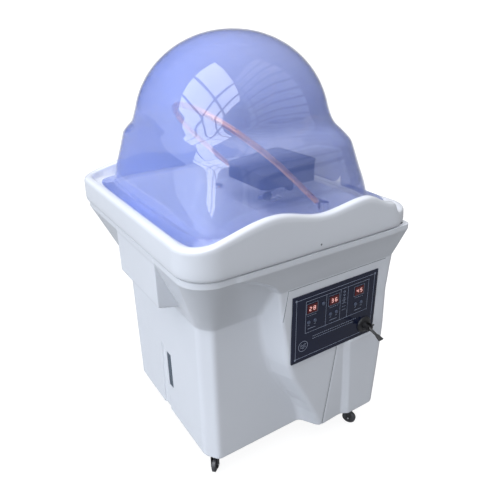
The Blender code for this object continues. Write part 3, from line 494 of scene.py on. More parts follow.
def add_sky():
    """Soft light that is strongest overhead and from the left. The camera sees plain white."""
    world = bpy.data.worlds.new("studio")
    world.use_nodes = True
    tree = world.node_tree
    background = tree.nodes["Background"]
    split = tree.nodes.new("ShaderNodeSeparateXYZ")
    tree.links.new(tree.nodes.new("ShaderNodeTexCoord").outputs["Generated"], split.inputs["Vector"])
    overhead = maths(tree, "POWER", maths(tree, "MAXIMUM", split.outputs["Z"], 0.0), 2.5)
    leftward = maths(tree, "MAXIMUM", maths(tree, "MULTIPLY", split.outputs["X"], -1.0), 0.0)
    light = maths(tree, "ADD", maths(tree, "MULTIPLY", overhead, SKY_OVERHEAD),
                  maths(tree, "MULTIPLY", maths(tree, "POWER", leftward, 1.5), SKY_LEFT))
    light = maths(tree, "ADD", light, SKY_BASE)
    seen = tree.nodes.new("ShaderNodeLightPath").outputs["Is Camera Ray"]
    strength = maths(tree, "MAXIMUM", light, maths(tree, "MULTIPLY", seen, SKY_SEEN))
    tree.links.new(strength, background.inputs["Strength"])
    tint = ramp(tree, leftward, (0.97, 0.975, 1.0), (0.88, 0.95, 1.06), 0.0, 1.0)
    tree.links.new(tint, background.inputs["Color"])
    bpy.context.scene.world = world


def add_bowl_light():
    """Light scattered inside the hood, so that the bowl isn't darker than the cabinet."""
    data = bpy.data.lights.new("bowl_light", "POINT")
    data.energy = 2.1
    data.shadow_soft_size = 0.12
    data.color = (0.92, 0.95, 1.0)
    lamp = bpy.data.objects.new("bowl_light", data)
    lamp.location = (-0.02, DATUM_Y, 0.93)
    bpy.context.scene.collection.objects.link(lamp)


def add_lights():
    add_sky()
    add_bowl_light()
    add_window("window", centre=(-1.79, -0.83, 3.22), roll=-0.45, columns=(2.3, 0.8, 0.5),
               rows=(0.9, 1.1, 1.4), gap=0.15, radiance=5.0)
    add_window("blind", centre=(1.33, -1.96, 2.78), roll=0.0, columns=(0.3, 2.4), rows=(0.40,) * 9,
               gap=0.11, radiance=0.62)


def add_floor():
    half = 30.0
    bm = bmesh.new()
    bm.faces.new([bm.verts.new(point) for point in
                  ((-half, -half, 0.0), (half, -half, 0.0), (half, half, 0.0), (-half, half, 0.0))])
    floor = bpy.data.objects.new("floor", finished_mesh("floor", bm))
    floor.data.materials.append(MATERIALS["floor_pale"])
    bpy.context.scene.collection.objects.link(floor)


bpy.context.scene.view_settings.view_transform = "Standard"
add_camera()
add_lights()
add_floor()


# Cabinet shell: the surface is found along rays from an upright axis inside the cabinet.

AXIS = (0.020, -0.030)            # place of that axis
FRONT_STEP, SIDE_STEP, LEVEL_STEP = 0.0030, 0.0080, 0.0034
CORNER_CUT = (0.0255, 0.035)      # chamfer on the cabinet's upright corners
ROUND_START, ROUND_OVER = WAIST_Z - 0.020, 0.060  # where those chamfers turn into round corners
SHELL_RETURN = 0.005              # depth of the walls inside the openings' edges
HOUSING_SOFT, BLOCK_SOFT = 0.012, 0.003           # blends of the housing and block into the cabinet
BLOCK_UNDER = ((-0.2405, 0.5005), (0.0008 - SEAM_X, 0.520))   # the block's sloping underside, (x, z)

# Relief of the housing's front. Pairs run from just below the panel to the cabinet's foot.
RELIEF_TOP_Z = 0.335
STRIP_START, STRIP_END, STRIP_DEPTH = (0.138, 0.166), (0.158, 0.187), (0.0060, 0.0090)
CREASE_DEPTH, CREASE_WIDTH = 0.0015, 0.0030
FOLD_DEPTH, FOLD_WIDTH = 0.0030, 0.060
SURROUND_PROUD = 0.0016


def flare_share(z):
    """How far the cabinet has spread at a height, from 0 at the waist to 1 at the top."""
    return np.clip((z - WAIST_Z) / (FLARE_TOP_Z - WAIST_Z), 0.0, 1.0) ** FLARE_POWER


def cabinet_field(x, y, z):
    """Signed distance, roughly, to the plain flared cabinet."""
    flare = flare_share(z)
    left, right = mix(CABINET_LEFT, -SHELL_EDGE_X, flare), mix(CABINET_RIGHT, SHELL_EDGE_X, flare)
    half_y = mix(CABINET_HALF_Y, SHELL_EDGE_Y, flare)
    radius = mix(CABINET_RADIUS, SEAM_RADIUS, flare)
    half_x = (right - left) / 2
    px, py = np.abs(x - (left + right) / 2), np.abs(y)
    qx, qy = px - (half_x - radius), py - (half_y - radius)
    rounded = np.hypot(np.maximum(qx, 0), np.maximum(qy, 0)) + np.minimum(np.maximum(qx, qy), 0) - radius
    square = smooth_max(px - half_x, py - half_y, 0.004)
    cut_x, cut_y = CORNER_CUT
    chamfer = ((px - half_x) / cut_x + (py - half_y) / cut_y + 1) / math.hypot(1 / cut_x, 1 / cut_y)
    chamfered = smooth_max(square, chamfer, 0.008)
    return mix(chamfered, rounded, smooth_step((z - ROUND_START) / ROUND_OVER))


def level_value(z, column):
    return np.interp(z, HOUSING_LEVELS[:, 0], HOUSING_LEVELS[:, column])


def housing_field(x, y, z):
    """Signed distance, roughly, to the control housing on the front."""
    ridge, foot, face = (level_value(z, column) for column in (1, 2, 3))
    face = face - stand_out(x, z)
    along_x, along_y = ridge - foot, face + CABINET_HALF_Y
    length = np.hypot(along_x, along_y)
    slope = ((x - foot) * along_y - (y + CABINET_HALF_Y) * along_x) / length
    front = face - y
    right = x - mix(CABINET_RIGHT, SHELL_EDGE_X, flare_share(z))
    soft = mix(0.013, 0.008, smooth_step((z - 0.30) / 0.12))
    corner = smooth_max(front, slope, soft)
    corner = smooth_max(corner, right, 0.022)
    return np.maximum(corner, y + 0.10)


def crease_place(z):
    """Where the crease below the panel is along X."""
    return mix(0.116, 0.094, np.clip((0.330 - z) / 0.26, 0.0, 1.2))


def surround_share(x, z):
    """1 on the panel's raised surround and 0 outside it. It fades out down its left side."""
    edge_x = mix(-0.050, -0.068, np.clip((0.553 - z) / 0.080, 0.0, 1.0))
    upper_left = smooth_step((x - edge_x + 0.0015) / 0.003) * smooth_step((0.5535 - z) / 0.002)
    return upper_left * smooth_step((z - 0.440) / 0.045)


def stand_out(x, z):
    """How far the housing's front stands out: a strip on the right, a crease and fold, a surround."""
    down = np.clip((RELIEF_TOP_Z - z) / (RELIEF_TOP_Z - CABINET_Z), 0.0, 1.2)
    strip_start, strip_end = mix(*STRIP_START, down), mix(*STRIP_END, down)
    on_strip = np.clip((x - strip_start) / (strip_end - strip_start), 0.0, 1.0)
    right_end = smooth_step((x - 0.228) / 0.014)
    below_panel = mix(smooth_step((0.345 - z) / 0.012), np.clip((0.520 - z) / 0.190, 0.0, 1.0), right_end)
    strip = mix(*STRIP_DEPTH, np.clip(down, 0, 1)) * on_strip * below_panel
    past_crease = x - crease_place(z)
    crease = CREASE_DEPTH * np.exp(-(past_crease / CREASE_WIDTH) ** 2) * below_panel
    fold = FOLD_DEPTH * np.clip(past_crease / FOLD_WIDTH, 0.0, 1.0) * np.clip(down, 0, 1) * (1 - on_strip)
    return strip - crease - fold + SURROUND_PROUD * surround_share(x, z)


def block_field(x, y, z):
    """Signed distance, roughly, to the equipment block on the left face."""
    low, high = np.array(BLOCK_UNDER)
    outer = high[0] - x
    direction = (low - high) / np.linalg.norm(low - high)
    under = (x - high[0]) * direction[1] + (z - high[1]) * -direction[0]
    sides = np.maximum(BLOCK_Y[0] - y, y - BLOCK_Y[1])
    return np.maximum(smooth_max(smooth_max(outer, under, 0.004), sides, 0.004), x)


def recess_depth(y, z):
    """Shallow channel beside the water-level window, open at the cabinet's foot."""
    top = smooth_step((mix(0.294, 0.270, (0.020 - y) / 0.030) - z) / 0.004)
    left = mix(0.020, 0.035, (0.294 - z) / 0.227)
    right = mix(-0.010, -0.006, (0.270 - z) / 0.203)
    return 0.0042 * top * smooth_step((left - y) / 0.003) * smooth_step((y - right) / 0.003)


def shell_field(x, y, z):
    """Signed distance, roughly, to the cabinet with its housing, block and channel."""
    on_left = x < -0.15
    body = cabinet_field(x, y, z) + np.where(on_left, recess_depth(y, z), 0.0)
    field = smooth_min(body, housing_field(x, y, z), HOUSING_SOFT)
    return smooth_min(field, block_field(x, y, z), BLOCK_SOFT)


def shell_points(angle, z, inset=0.0):
    """Points of the shell's surface where rays from the upright axis leave it."""
    c, s = np.cos(angle), np.sin(angle)
    near, far = np.full(np.broadcast(angle, z).shape, 0.02), np.full(np.broadcast(angle, z).shape, 0.60)
    for _ in range(34):
        middle = (near + far) / 2
        outside = shell_field(AXIS[0] + middle * c, AXIS[1] + middle * s, z) > -inset
        far = np.where(outside, middle, far)
        near = np.where(outside, near, middle)
    return np.stack(np.broadcast_arrays(AXIS[0] + near * c, AXIS[1] + near * s, z), axis=-1)


def shell_angles():
    """Ray angles: close together on the sculpted faces, and through every opening's edges."""
    fine = np.linspace(-math.pi, math.pi, 12001)
    travel = np.zeros(len(fine) - 1)
    for z in (0.10, 0.30, 0.48, 0.56, 0.60, 0.645):
        points = shell_points(fine, np.full(fine.shape, z))
        length = np.linalg.norm(np.diff(points, axis=0), axis=1)
        middle = (points[1:] + points[:-1]) / 2
        sculpted = (middle[:, 1] < -0.20) | ((middle[:, 0] < -0.2) & (middle[:, 1] < 0.09))
        travel = np.maximum(travel, length / np.where(sculpted, FRONT_STEP, SIDE_STEP))
    total = np.concatenate(([0.0], np.cumsum(travel)))
    places = [(x, CABINET_HALF_Y) for x in DOORWAY_X + INLET_X]
    places += [(CABINET_LEFT, y) for y in LEVEL_WINDOW_Y]
    marks = sorted([-math.pi] + [math.atan2(y - AXIS[1], x - AXIS[0]) for x, y in places])
    marks.append(math.pi)
    angles = []
    for start, end in zip(marks, marks[1:]):
        a, b = np.interp((start, end), fine, total)
        steps = max(1, math.ceil(b - a))
        angles += list(np.interp(a + (b - a) * np.arange(steps) / steps, total, fine))
    return np.array(angles)


def shell_levels():
    """Heights of the shell's rings, with one at every opening's edge."""
    marks = sorted({CABINET_Z + 0.004, *DOORWAY_Z, *INLET_Z, *LEVEL_WINDOW_Z, WAIST_Z, *SURROUND_TOP_Z,
                    FLARE_TOP_Z - 0.003, FLARE_TOP_Z, SHELL_TOP_Z})
    levels = []
    for low, high in zip(marks, marks[1:]):
        steps = max(1, math.ceil((high - low) / LEVEL_STEP))
        levels += [mix(low, high, step / steps) for step in range(steps)]
    return levels + [marks[-1]]


def shell_rows():
    """Rings of the shell from inside its foot, up its face and in over its top."""
    angles, levels = shell_angles(), shell_levels()
    rows = list(shell_points(*np.meshgrid(angles, levels)))
    flat = np.ones(len(angles))
    foot = [shell_points(angles, z * flat, inset)
            for z, inset in ((0.080, 0.006), (CABINET_Z + 0.0005, 0.0055), (CABINET_Z, 0.0035),
                             (CABINET_Z + 0.0012, 0.0008))]
    head = [shell_points(angles, (SHELL_TOP_Z + 0.0010) * flat, inset) for inset in (0.0012, 0.0100)]
    return foot + rows + head


def between(value, ends):
    return ends[0] < value < ends[1]


def in_opening(place):
    """Whether a place on the shell is in the doorway, the inlet's hole or the window's hole."""
    x, y, z = place
    if y > CABINET_HALF_Y - 0.0125:
        return ((between(x, DOORWAY_X) and between(z, DOORWAY_Z))
                or (between(x, INLET_X) and between(z, INLET_Z)))
    return x < CABINET_LEFT + 0.021 and between(y, LEVEL_WINDOW_Y) and between(z, LEVEL_WINDOW_Z)


def turn_in_rims(bm, ends):
    """Give the openings' edges a wall that goes in behind the shell's face."""
    rims = [edge for edge in bm.edges if edge.is_boundary and not (set(edge.verts) <= ends)]
    grown = bmesh.ops.extrude_edge_only(bm, edges=rims)["geom"]
    for vert in (item for item in grown if isinstance(item, bmesh.types.BMVert)):
        if vert.co.y > 0.2:
            vert.co.y -= SHELL_RETURN
        else:
            vert.co.x += SHELL_RETURN


def make_cabinet():
    bm = bmesh.new()
    verts = [[bm.verts.new(point) for point in row] for row in shell_rows()]
    count = len(verts[0])
    for low, high in zip(verts, verts[1:]):
        for column in range(count):
            after = (column + 1) % count
            corners = (low[column], low[after], high[after], high[column])
            if not in_opening(sum((corner.co for corner in corners), Vector()) / 4):
                bm.faces.new(corners)
    turn_in_rims(bm, set(verts[0]) | set(verts[-1]))
    bmesh.ops.delete(bm, geom=[vert for vert in bm.verts if not vert.link_faces], context="VERTS")
    bmesh.ops.recalc_face_normals(bm, faces=bm.faces)
    shell = new_piece("cabinet_skin", bm, "shell_white", "cart", smooth=30.0)
    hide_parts("cabinet_shell")


def face_line(name, corners, radius=0.0007):
    """A fine dark line of painted shade in the housing's front face, through corners given as (x, z)."""
    route = []
    for (x0, z0), (x1, z1) in zip(corners, corners[1:]):
        steps = max(2, math.ceil(math.hypot(x1 - x0, z1 - z0) / 0.006))
        for step in range(steps):
            route.append((mix(x0, x1, step / steps), mix(z0, z1, step / steps)))
    route.append(corners[-1])
    points = [(x, float(level_value(z, 3) - stand_out(x, z)) - 0.0002, z) for x, z in route]
    new_piece(name, tube_mesh(points, radius, 8), "dark_grey_and_painted_shade", "cart")


def make_face_lines():
    # Painted shade: a dark line along the crease below the panel, and a painted shadow along the left and
    # upper edge of the panel's surround.
    face_line("crease_painted_shade", [(float(crease_place(z)), z) for z in (0.331, 0.240, 0.150, 0.067)])
    face_line("surround_painted_shadow", [(-0.066, 0.474), (-0.0505, 0.5520), (0.266, 0.5520)], 0.0006)


make_cabinet()
make_face_lines()


# Basin.

BOWL_INSET, BOWL_CORNER = 0.112, 0.058


def floor_height(x):
    """Height of the bowl's floor, which steps up to the neck shelf."""
    return mix(BOWL_Z, SHELF_Z, smooth_step((x - SHELF_START) / (SHELF_END - SHELF_START)))


def basin_outline(inset, radius):
    """The basin's outline drawn in by an inset. Every outline has as many points."""
    return rounded_rectangle(SEAM_X - inset, SEAM_Y - inset, radius, 56, 16)


def band_outline(inset):
    return basin_outline(inset, SEAM_RADIUS - inset)


def crest_ring(inset, drop):
    """A ring over the rim, below its crest by a drop that is smaller where the rim is low."""
    points = band_outline(inset)
    crest = wave_height(points[:, 0])
    span = max(z for _, z in RIM_WAVE) - RIM_LOW
    return np.column_stack((points, crest - drop * mix(0.45, 1.0, (crest - RIM_LOW) / span)))


def band_rings():
    """The outside of the basin, from its underside over the rim."""
    under = [at_height(band_outline(0.010), SEAM_Z + 0.0022),
             at_height(band_outline(0.0015), SEAM_Z + 0.0006),
             at_height(band_outline(-0.0002), SEAM_Z + 0.0012)]
    band = [at_height(band_outline(-0.0015), SEAM_Z + 0.0030),
            at_height(band_outline(-BAND_FLARE), SEAM_Z + 0.0120)]
    for inset, drop in ((-0.0050, 0.0260), (-0.0042, 0.0120), (-0.0018, 0.0040), (0.0030, 0.0006),
                        (0.0085, 0.0), (0.0140, 0.0012), (0.0180, 0.0055)):
        band.append(crest_ring(inset, drop))
    return under + smooth_rows(band, 4)


def ledge_height(points):
    """Height of the hood's ledge, which dips where the rim is low."""
    return np.minimum(LEDGE_Z, wave_height(points[:, 0]) - 0.006)


def ledge_rings():
    """From the rim's inner foot across the ledge and down the bowl's wall."""
    rings = []
    for inset, radius, rise in ((0.0225, 0.047, 0.0035), (0.0260, 0.047, 0.0), (0.034, 0.045, 0.0),
                                (0.050, 0.045, -0.0005), (0.066, 0.045, -0.001)):
        points = basin_outline(inset, radius)
        rings.append(np.column_stack((points, ledge_height(points) + rise)))
    for inset, share in ((0.074, 0.03), (0.080, 0.14), (0.088, 0.45), (0.097, 0.78), (0.106, 0.96),
                         (BOWL_INSET, 1.0)):
        points = basin_outline(inset, BOWL_CORNER)
        rings.append(np.column_stack((points, mix(ledge_height(points), floor_height(points[:, 0]), share))))
    return rings


def floor_rings():
    """The bowl's floor, drawn in to the drain, and the drain's neck."""
    spoke = basin_outline(BOWL_INSET, BOWL_CORNER) - np.array(DRAIN)
    reach = np.linalg.norm(spoke, axis=1)
    rings = []
    for share in np.linspace(0.04, 1.0, 24):
        place = np.array(DRAIN) + spoke * mix(1.0, DRAIN_RADIUS / reach, share)[:, None]
        rings.append(np.column_stack((place, floor_height(place[:, 0]) - 0.006 * share)))
    neck = np.array(DRAIN) + spoke * ((DRAIN_RADIUS - 0.002) / reach)[:, None]
    return rings + [at_height(neck, BOWL_Z - 0.009), at_height(neck, BOWL_Z - 0.014)]


def make_basin():
    bm = ring_mesh(band_rings() + ledge_rings() + floor_rings())
    bmesh.ops.recalc_face_normals(bm, faces=bm.faces)
    basin = new_piece("basin_skin", bm, "shell_white", "cart", smooth=35.0)
    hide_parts("basin")


make_basin()


# Hood.

HOOD_POINTS = 220                 # points in each ring


def hood_ring(half_x, half_y, power, z):
    return at_height(superellipse(half_x, half_y, power, HOOD_POINTS), z)


def foot_rings(lip_top):
    """The hood's lower wall, from its foot past the crease to the shoulder."""
    between_x, between_y = mix(np.array(HOOD_CREASE), np.array(HOOD_SHOULDER), 0.5)
    return [hood_ring(*HOOD_FOOT, 6.5, lip_top + 0.003),
            hood_ring(*HOOD_CREASE, 5.5, HOOD_CREASE_Z),
            hood_ring(between_x, between_y, 5.2, mix(HOOD_CREASE_Z, HOOD_SHOULDER_Z, 0.5)),
            hood_ring(*HOOD_SHOULDER, HOOD_SHOULDER_SQUARE, HOOD_SHOULDER_Z)]


def shoulder_rings():
    """The soft step from the squarish shoulder in to the foot of the dome."""
    rings = []
    for share in (0.25, 0.5, 0.75, 1.0):
        out = 1 - smooth_step(share)
        half_x, half_y = (mix(dome, shoulder, out) for dome, shoulder in zip(DOME_BASE, HOOD_SHOULDER))
        rings.append(hood_ring(half_x, half_y, mix(DOME_SQUARE[0], HOOD_SHOULDER_SQUARE, out),
                               mix(HOOD_SHOULDER_Z, DOME_Z, share)))
    return rings


def dome_rings():
    """The dome, which leans a little as it rises."""
    rings = []
    for step in range(1, 18):
        rise = math.sin(math.pi / 2 * step / 17.15)
        size = (1 - rise ** DOME_POWER) ** (1 / DOME_POWER)
        ring = hood_ring(DOME_BASE[0] * size, DOME_BASE[1] * size, mix(*DOME_SQUARE, math.sqrt(rise)),
                         mix(DOME_Z, HOOD_TOP_Z, rise))
        rings.append(ring + rise * np.array((*DOME_SHIFT, 0.0)))
    return rings


def hood_surface():
    lip_top = LEDGE_Z + 0.0005 + HOOD_WALL
    lip = [hood_ring(*HOOD_LIP, 9.0, lip_top), hood_ring(*HOOD_LIP_ROOT, 8.0, lip_top + 0.0002)]
    walls = smooth_rows(foot_rings(lip_top) + shoulder_rings() + dome_rings(), 3)
    return ring_mesh(lip + walls, cap_last=True)


def hood_wall(name, thickness, cutter, operation):
    """The hood's surface with a wall, less the neck opening or only what fills it."""
    piece = new_piece(name, hood_surface(), "hood_blue", "steam_hood", smooth=50.0)
    wall = piece.modifiers.new("wall", "SOLIDIFY")
    wall.thickness = thickness
    wall.offset = -1.0
    cut = piece.modifiers.new("neck", "BOOLEAN")
    cut.operation = operation
    cut.solver = "EXACT"
    cut.object = cutter
    apply_modifiers(piece)
    bpy.data.objects.remove(cutter, do_unlink=True)
    piece.data.shade_smooth()
    piece.data.set_sharp_from_angle(angle=math.radians(50))
    piece.visible_shadow = False
    return piece


def make_hood():
    hood = hood_wall("hood_shell", HOOD_WALL, neck_cutter(0.600, 0.0), "DIFFERENCE")
    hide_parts("hood")


def make_neck_curtain():
    """A soft clear flap that hangs in the neck opening and keeps the steam in."""
    low = LEDGE_Z + 0.008
    curtain = hood_wall("neck_curtain", CURTAIN_THICK, neck_cutter(low, CURTAIN_GAP), "INTERSECT")


def neck_cutter(low, inset):
    """A block with the outline of the neck opening, or inside it by an inset, down to a height."""
    top = NECK_TOP_Z - inset
    height = top - low
    outline = rounded_rectangle(NECK_HALF - inset, height / 2, NECK_CORNER - inset, 1, 12)
    rows = [np.column_stack((np.full(len(outline), x), outline[:, 0] + DATUM_Y,
                             outline[:, 1] + top - height / 2)) for x in (0.100, 0.360)]
    bm = ring_mesh(rows, True, True)
    bmesh.ops.recalc_face_normals(bm, faces=bm.faces)
    cutter = bpy.data.objects.new("neck_cutter", finished_mesh("neck_cutter", bm))
    bpy.context.scene.collection.objects.link(cutter)
    return cutter


def apply_modifiers(piece):
    bpy.context.view_layer.update()
    graph = bpy.context.evaluated_depsgraph_get()
    mesh = bpy.data.meshes.new_from_object(piece.evaluated_get(graph))
    piece.modifiers.clear()
    piece.data = mesh


make_hood()
make_neck_curtain()


# Spray arch.

def arch_point(y, along):
    return Vector((ARCH_X - along * math.sin(ARCH_TILT), y, ARCH_Z + along * math.cos(ARCH_TILT)))


def arch_route():
    route = [arch_point(-ARCH_HALF, mix(0.0135, ARCH_LEG, step / 12)) for step in range(12)]
    for step in range(73):
        angle = math.pi * step / 72
        route.append(arch_point(-ARCH_HALF * math.cos(angle), ARCH_LEG + ARCH_HALF * math.sin(angle)))
    route += [arch_point(ARCH_HALF, mix(ARCH_LEG, 0.0135, step / 12)) for step in range(1, 13)]
    return route


def make_arch():
    arch = new_piece("spray_arch_tube", tube_mesh(arch_route(), ARCH_TUBE, 24), "copper", "spray_arch")
    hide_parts("spray_arch")
    inward = Vector((math.sin(ARCH_TILT), 0.0, -math.cos(ARCH_TILT)))
    for index in range(15):
        angle = math.radians(20 + 140 * index / 14)
        centre = arch_point(-ARCH_HALF * math.cos(angle), ARCH_LEG + ARCH_HALF * math.sin(angle))
        toward = Vector((0.0, 1.0, 0.0)) * math.cos(angle) + inward * math.sin(angle)
        spot = centre + toward * (ARCH_TUBE - 0.0002)
        bm = turned([(0.0, 0.0), (0.0012, 0.0), (0.0017, 0.0004), (0.0022, 0.0)], steps=12)
        turn = toward.to_track_quat("Z", "Y").to_matrix().to_4x4()
        bmesh.ops.transform(bm, matrix=Matrix.Translation(spot) @ turn, verts=bm.verts)
        new_piece(f"spray_hole_{index:02d}", bm, "dark_grey_and_painted_shade", "spray_arch")


make_arch()


# Head cushion.

def cushion_height(x, y):
    """Top of the pad: a slope with a low crown, and a shallow dip for the head."""
    half_x = (CUSHION_X[1] - CUSHION_X[0]) / 2
    slope = mix(*CUSHION_TOP_Z, (x + half_x) / (2 * half_x))
    dip = 0.0030 * np.exp(-(x / 0.040) ** 2 - (y / 0.045) ** 2)
    crown = 0.0045 * (1 - (x / half_x) ** 4) * (1 - (y / CUSHION_Y) ** 4)
    return slope - 0.0015 + crown - dip


def make_cushion():
    """Side wall in rings, then a fine grid of a top that joins it along a piped seam."""
    centre = np.array(((CUSHION_X[0] + CUSHION_X[1]) / 2, 0.0))
    half_x = (CUSHION_X[1] - CUSHION_X[0]) / 2
    outline = rounded_rectangle(half_x, CUSHION_Y, CUSHION_RADIUS, 40, 10)
    top = cushion_height(outline[:, 0], outline[:, 1])
    rows = []
    for scale, rise in ((0.40, 0.0), (0.950, 0.0), (0.978, 0.02), (0.990, 0.07), (0.994, 0.20),
                        (0.988, 0.50), (0.986, 0.80), (0.990, 0.95)):
        rows.append(np.column_stack((outline * scale + centre, mix(CUSHION_Z, top - 0.0015, rise))))
    for scale in np.concatenate(([0.990, 0.982], np.linspace(0.970, 0.02, 58))):
        ring = outline * scale
        rows.append(np.column_stack((ring + centre, cushion_height(ring[:, 0], ring[:, 1]))))
    bm = ring_mesh(rows, True, True)
    bmesh.ops.recalc_face_normals(bm, faces=bm.faces)
    cushion = new_piece("head_cushion_skin", bm, "vinyl_navy", "headrest_pad", smooth=60.0)
    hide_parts("head_cushion")
    ring = outline * 0.992
    piping = np.column_stack((ring + centre, cushion_height(ring[:, 0], ring[:, 1]) - 0.0003))
    seam = new_piece("head_cushion_piping", tube_mesh(piping, 0.0016, 8, closed=True), "vinyl_navy",
                     "headrest_pad")


make_cushion()


# Panel printing.

PRINT_THICK = 0.00015
SEGMENTS = {"2": "abged", "3": "abgcd", "4": "fgbc", "5": "afgcd", "6": "afgedc", "8": "abcdefg"}


def add_mark(bm, x, z, face=PANEL_Y):
    """A thin printed rectangle on the panel."""
    centre = ((x[0] + x[1]) / 2, face - PRINT_THICK / 2, (z[0] + z[1]) / 2)
    size = (x[1] - x[0], PRINT_THICK, z[1] - z[0], 1.0)
    bmesh.ops.create_cube(bm, size=1.0, matrix=Matrix.Translation(centre) @ Matrix.Diagonal(size))


def add_frame(bm, x, z, width):
    add_mark(bm, x, (z[0], z[0] + width))
    add_mark(bm, x, (z[1] - width, z[1]))
    add_mark(bm, (x[0], x[0] + width), (z[0] + width, z[1] - width))
    add_mark(bm, (x[1] - width, x[1]), (z[0] + width, z[1] - width))


def add_disc(bm, x, z, radius, hole=0.0, steps=32):
    """A printed dot, or a ring where a hole is given."""
    front, back = PANEL_Y - PRINT_THICK, PANEL_Y
    rings = []
    for y, size in ((back, max(hole, radius * 0.02)), (back, radius), (front, radius),
                    (front, max(hole, radius * 0.02))):
        rings.append([bm.verts.new((x + size * math.cos(math.tau * k / steps), y,
                                    z + size * math.sin(math.tau * k / steps))) for k in range(steps)])
    join_rings(bm, zip(rings, rings[1:] + rings[:1]))


def add_arc(bm, x, z, radius, start, end, width=0.0009, steps=14):
    """A printed curved stroke."""
    front = PANEL_Y - PRINT_THICK
    section = ((radius, PANEL_Y), (radius + width, PANEL_Y), (radius + width, front), (radius, front))
    rings = []
    for step in range(steps + 1):
        angle = math.radians(mix(start, end, step / steps))
        rings.append([bm.verts.new((x + size * math.cos(angle), y, z + size * math.sin(angle)))
                      for size, y in section])
    join_rings(bm, zip(rings, rings[1:]))
    bm.faces.new(list(reversed(rings[0])))
    bm.faces.new(rings[-1])


def print_frames(bm):
    """A line round the panel with dots at its corners, and a box with dividers round the displays."""
    inset = 0.011
    outer_x = (PANEL_X[0] + inset, PANEL_X[1] - inset)
    outer_z = (PANEL_Z[0] + inset, PANEL_Z[1] - inset)
    add_frame(bm, outer_x, outer_z, 0.0010)
    for x in outer_x:
        for z in outer_z:
            add_disc(bm, x, z, 0.0030)
    add_frame(bm, (0.0, 0.209), (0.419, 0.509), 0.0009)
    for x in (0.065, 0.112, 0.137):
        add_mark(bm, (x - 0.0004, x + 0.0004), (0.420, 0.508))


def print_ticks(bm):
    """Ticks and short lines beside the displays and buttons, where a real panel has its legends."""
    for x, _ in DISPLAYS.values():
        add_frame(bm, (x - 0.018, x + 0.018), (DISPLAY_Z - 0.0145, DISPLAY_Z + 0.0145), 0.0006)
        for offset in (-0.012, -0.006, 0.0, 0.006, 0.012):
            add_mark(bm, (x + offset - 0.0018, x + offset + 0.0018), (0.4660, 0.4672))
        for side in (-1, 1):
            add_mark(bm, (x + side * 0.010 - 0.0030, x + side * 0.010 + 0.0030), (0.4385, 0.4395))
        add_mark(bm, (x - 0.012, x + 0.012), (0.4290, 0.4302))
    for row in range(4):
        z = 0.474 - 0.0095 * row
        add_disc(bm, 0.1245, z + 0.024, 0.0030, 0.0022)
        add_mark(bm, (0.1180, 0.1310), (z, z + 0.0008))
    dashes = 24
    for length, z in ((0.150, 0.4020), (0.138, 0.3950)):
        for index in range(dashes):
            x = 0.025 + length * index / dashes
            add_mark(bm, (x, x + 0.62 * length / dashes), (z, z + 0.0014))


def print_water_sign(bm, x=-0.005, z=0.384):
    """Three wavy lines in a ring."""
    add_disc(bm, x, z, 0.0150, 0.0138)
    for drop in (0.0, 0.0045, 0.0090):
        for offset in (-0.006, 0.0, 0.006):
            bend = (20, 160) if offset else (200, 340)
            add_arc(bm, x + offset, z + 0.003 - drop + (0.0 if offset else 0.002), 0.0026, *bend)


def make_panel_print():
    """Everything printed on the panel. No words."""
    bm = bmesh.new()
    print_frames(bm)
    print_ticks(bm)
    print_water_sign(bm)
    bmesh.ops.recalc_face_normals(bm, faces=bm.faces)
    new_piece("panel_print", bm, "print_silver", "cart", smooth=0)


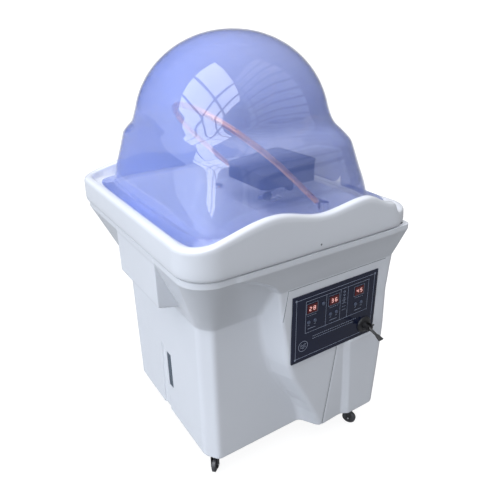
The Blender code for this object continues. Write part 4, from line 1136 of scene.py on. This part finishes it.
def make_digits():
    """Lit two-digit readings."""
    face = PANEL_Y - 0.0015
    wide, tall, stroke = 0.0060, 0.0096, 0.0016
    places = {"a": ((0, 1), (1, 1)), "g": ((0, 0.5), (1, 0.5)), "d": ((0, 0), (1, 0)),
              "f": ((0, 0.5), (0, 1)), "b": ((1, 0.5), (1, 1)), "e": ((0, 0), (0, 0.5)),
              "c": ((1, 0), (1, 0.5))}
    for name, (middle, text) in DISPLAYS.items():
        bm = bmesh.new()
        for index, figure in enumerate(text):
            left = middle + (-0.0095 if index == 0 else 0.0030)
            bottom = DISPLAY_Z - tall / 2
            for segment in SEGMENTS[figure]:
                (x0, z0), (x1, z1) = places[segment]
                gap = 0.0006
                reach_x, reach_z = (gap, -stroke / 2) if x0 != x1 else (-stroke / 2, gap)
                add_mark(bm, (left + wide * x0 + reach_x, left + wide * x1 - reach_x),
                         (bottom + tall * z0 + reach_z, bottom + tall * z1 - reach_z), face)
        new_piece(f"digits_{name}", bm, "digit_red", "cart", smooth=0)


SCREW_HEAD = ((0.0, 0.0), (0.0034, 0.0), (0.0034, 0.0006), (0.0026, 0.0015), (0.0012, 0.0018),
              (0.0, 0.0018))
KNUCKLE = ((0.0, -0.016), (0.0036, -0.016), (0.0042, -0.0150), (0.0042, -0.0056), (0.0038, -0.005),
           (0.0038, 0.005), (0.0042, 0.0056), (0.0042, 0.0150), (0.0036, 0.016), (0.0, 0.016))


def make_band_screw():
    """A small screw in the middle of the basin's front band."""
    band = turned([(r * 0.8, -h) for r, h in SCREW_HEAD], "Y", (0.007, -(SEAM_Y + 0.0050), 0.670), 20)
    new_piece("band_screw", band, "dark_grey_and_painted_shade", "cart")


def make_service_side():
    """Louvres and hinge knuckles on the rear door, and screws beside the mains inlet."""
    back = CABINET_HALF_Y + 0.0043
    for index in range(7):
        z = 0.330 + 0.010 * index
        louvre = tube_mesh([(-0.060, back, z), (-0.056, back + 0.0008, z), (0.076, back + 0.0008, z),
                            (0.080, back, z)], 0.0024, 12)
        new_piece(f"door_louvre_{index}", louvre, "shell_white", "rear_door")
    for index, z in enumerate((0.170, 0.355)):
        knuckle = turned(KNUCKLE, "Z", (DOOR_X[0], back, z), 24)
        new_piece(f"door_hinge_{index}", knuckle, "chrome", "rear_door")
    places = [(x, z) for x in (INLET_X[0] - 0.009, INLET_X[1] + 0.009)
              for z in (INLET_Z[0] + 0.004, INLET_Z[1] - 0.004)]
    for index, (x, z) in enumerate(places):
        screw = turned(SCREW_HEAD, "Y", (x, CABINET_HALF_Y + 0.0002, z), 20)
        new_piece(f"inlet_screw_{index}", screw, "chrome", "cart")


make_panel_print()
make_digits()
make_band_screw()
make_service_side()


# Finishes of the CAD nodes that stay visible.

def finish_nodes():
    slots = {entry["node"]: entry["material_slot"] for entry in frame["record"]["subparts"]}
    for name, node in NODES.items():
        material = MATERIALS[slots[name]]
        node.data.materials.clear()
        node.data.materials.append(material)
        node.data.shade_smooth()
        node.data.set_sharp_from_angle(angle=math.radians(32))


finish_nodes()
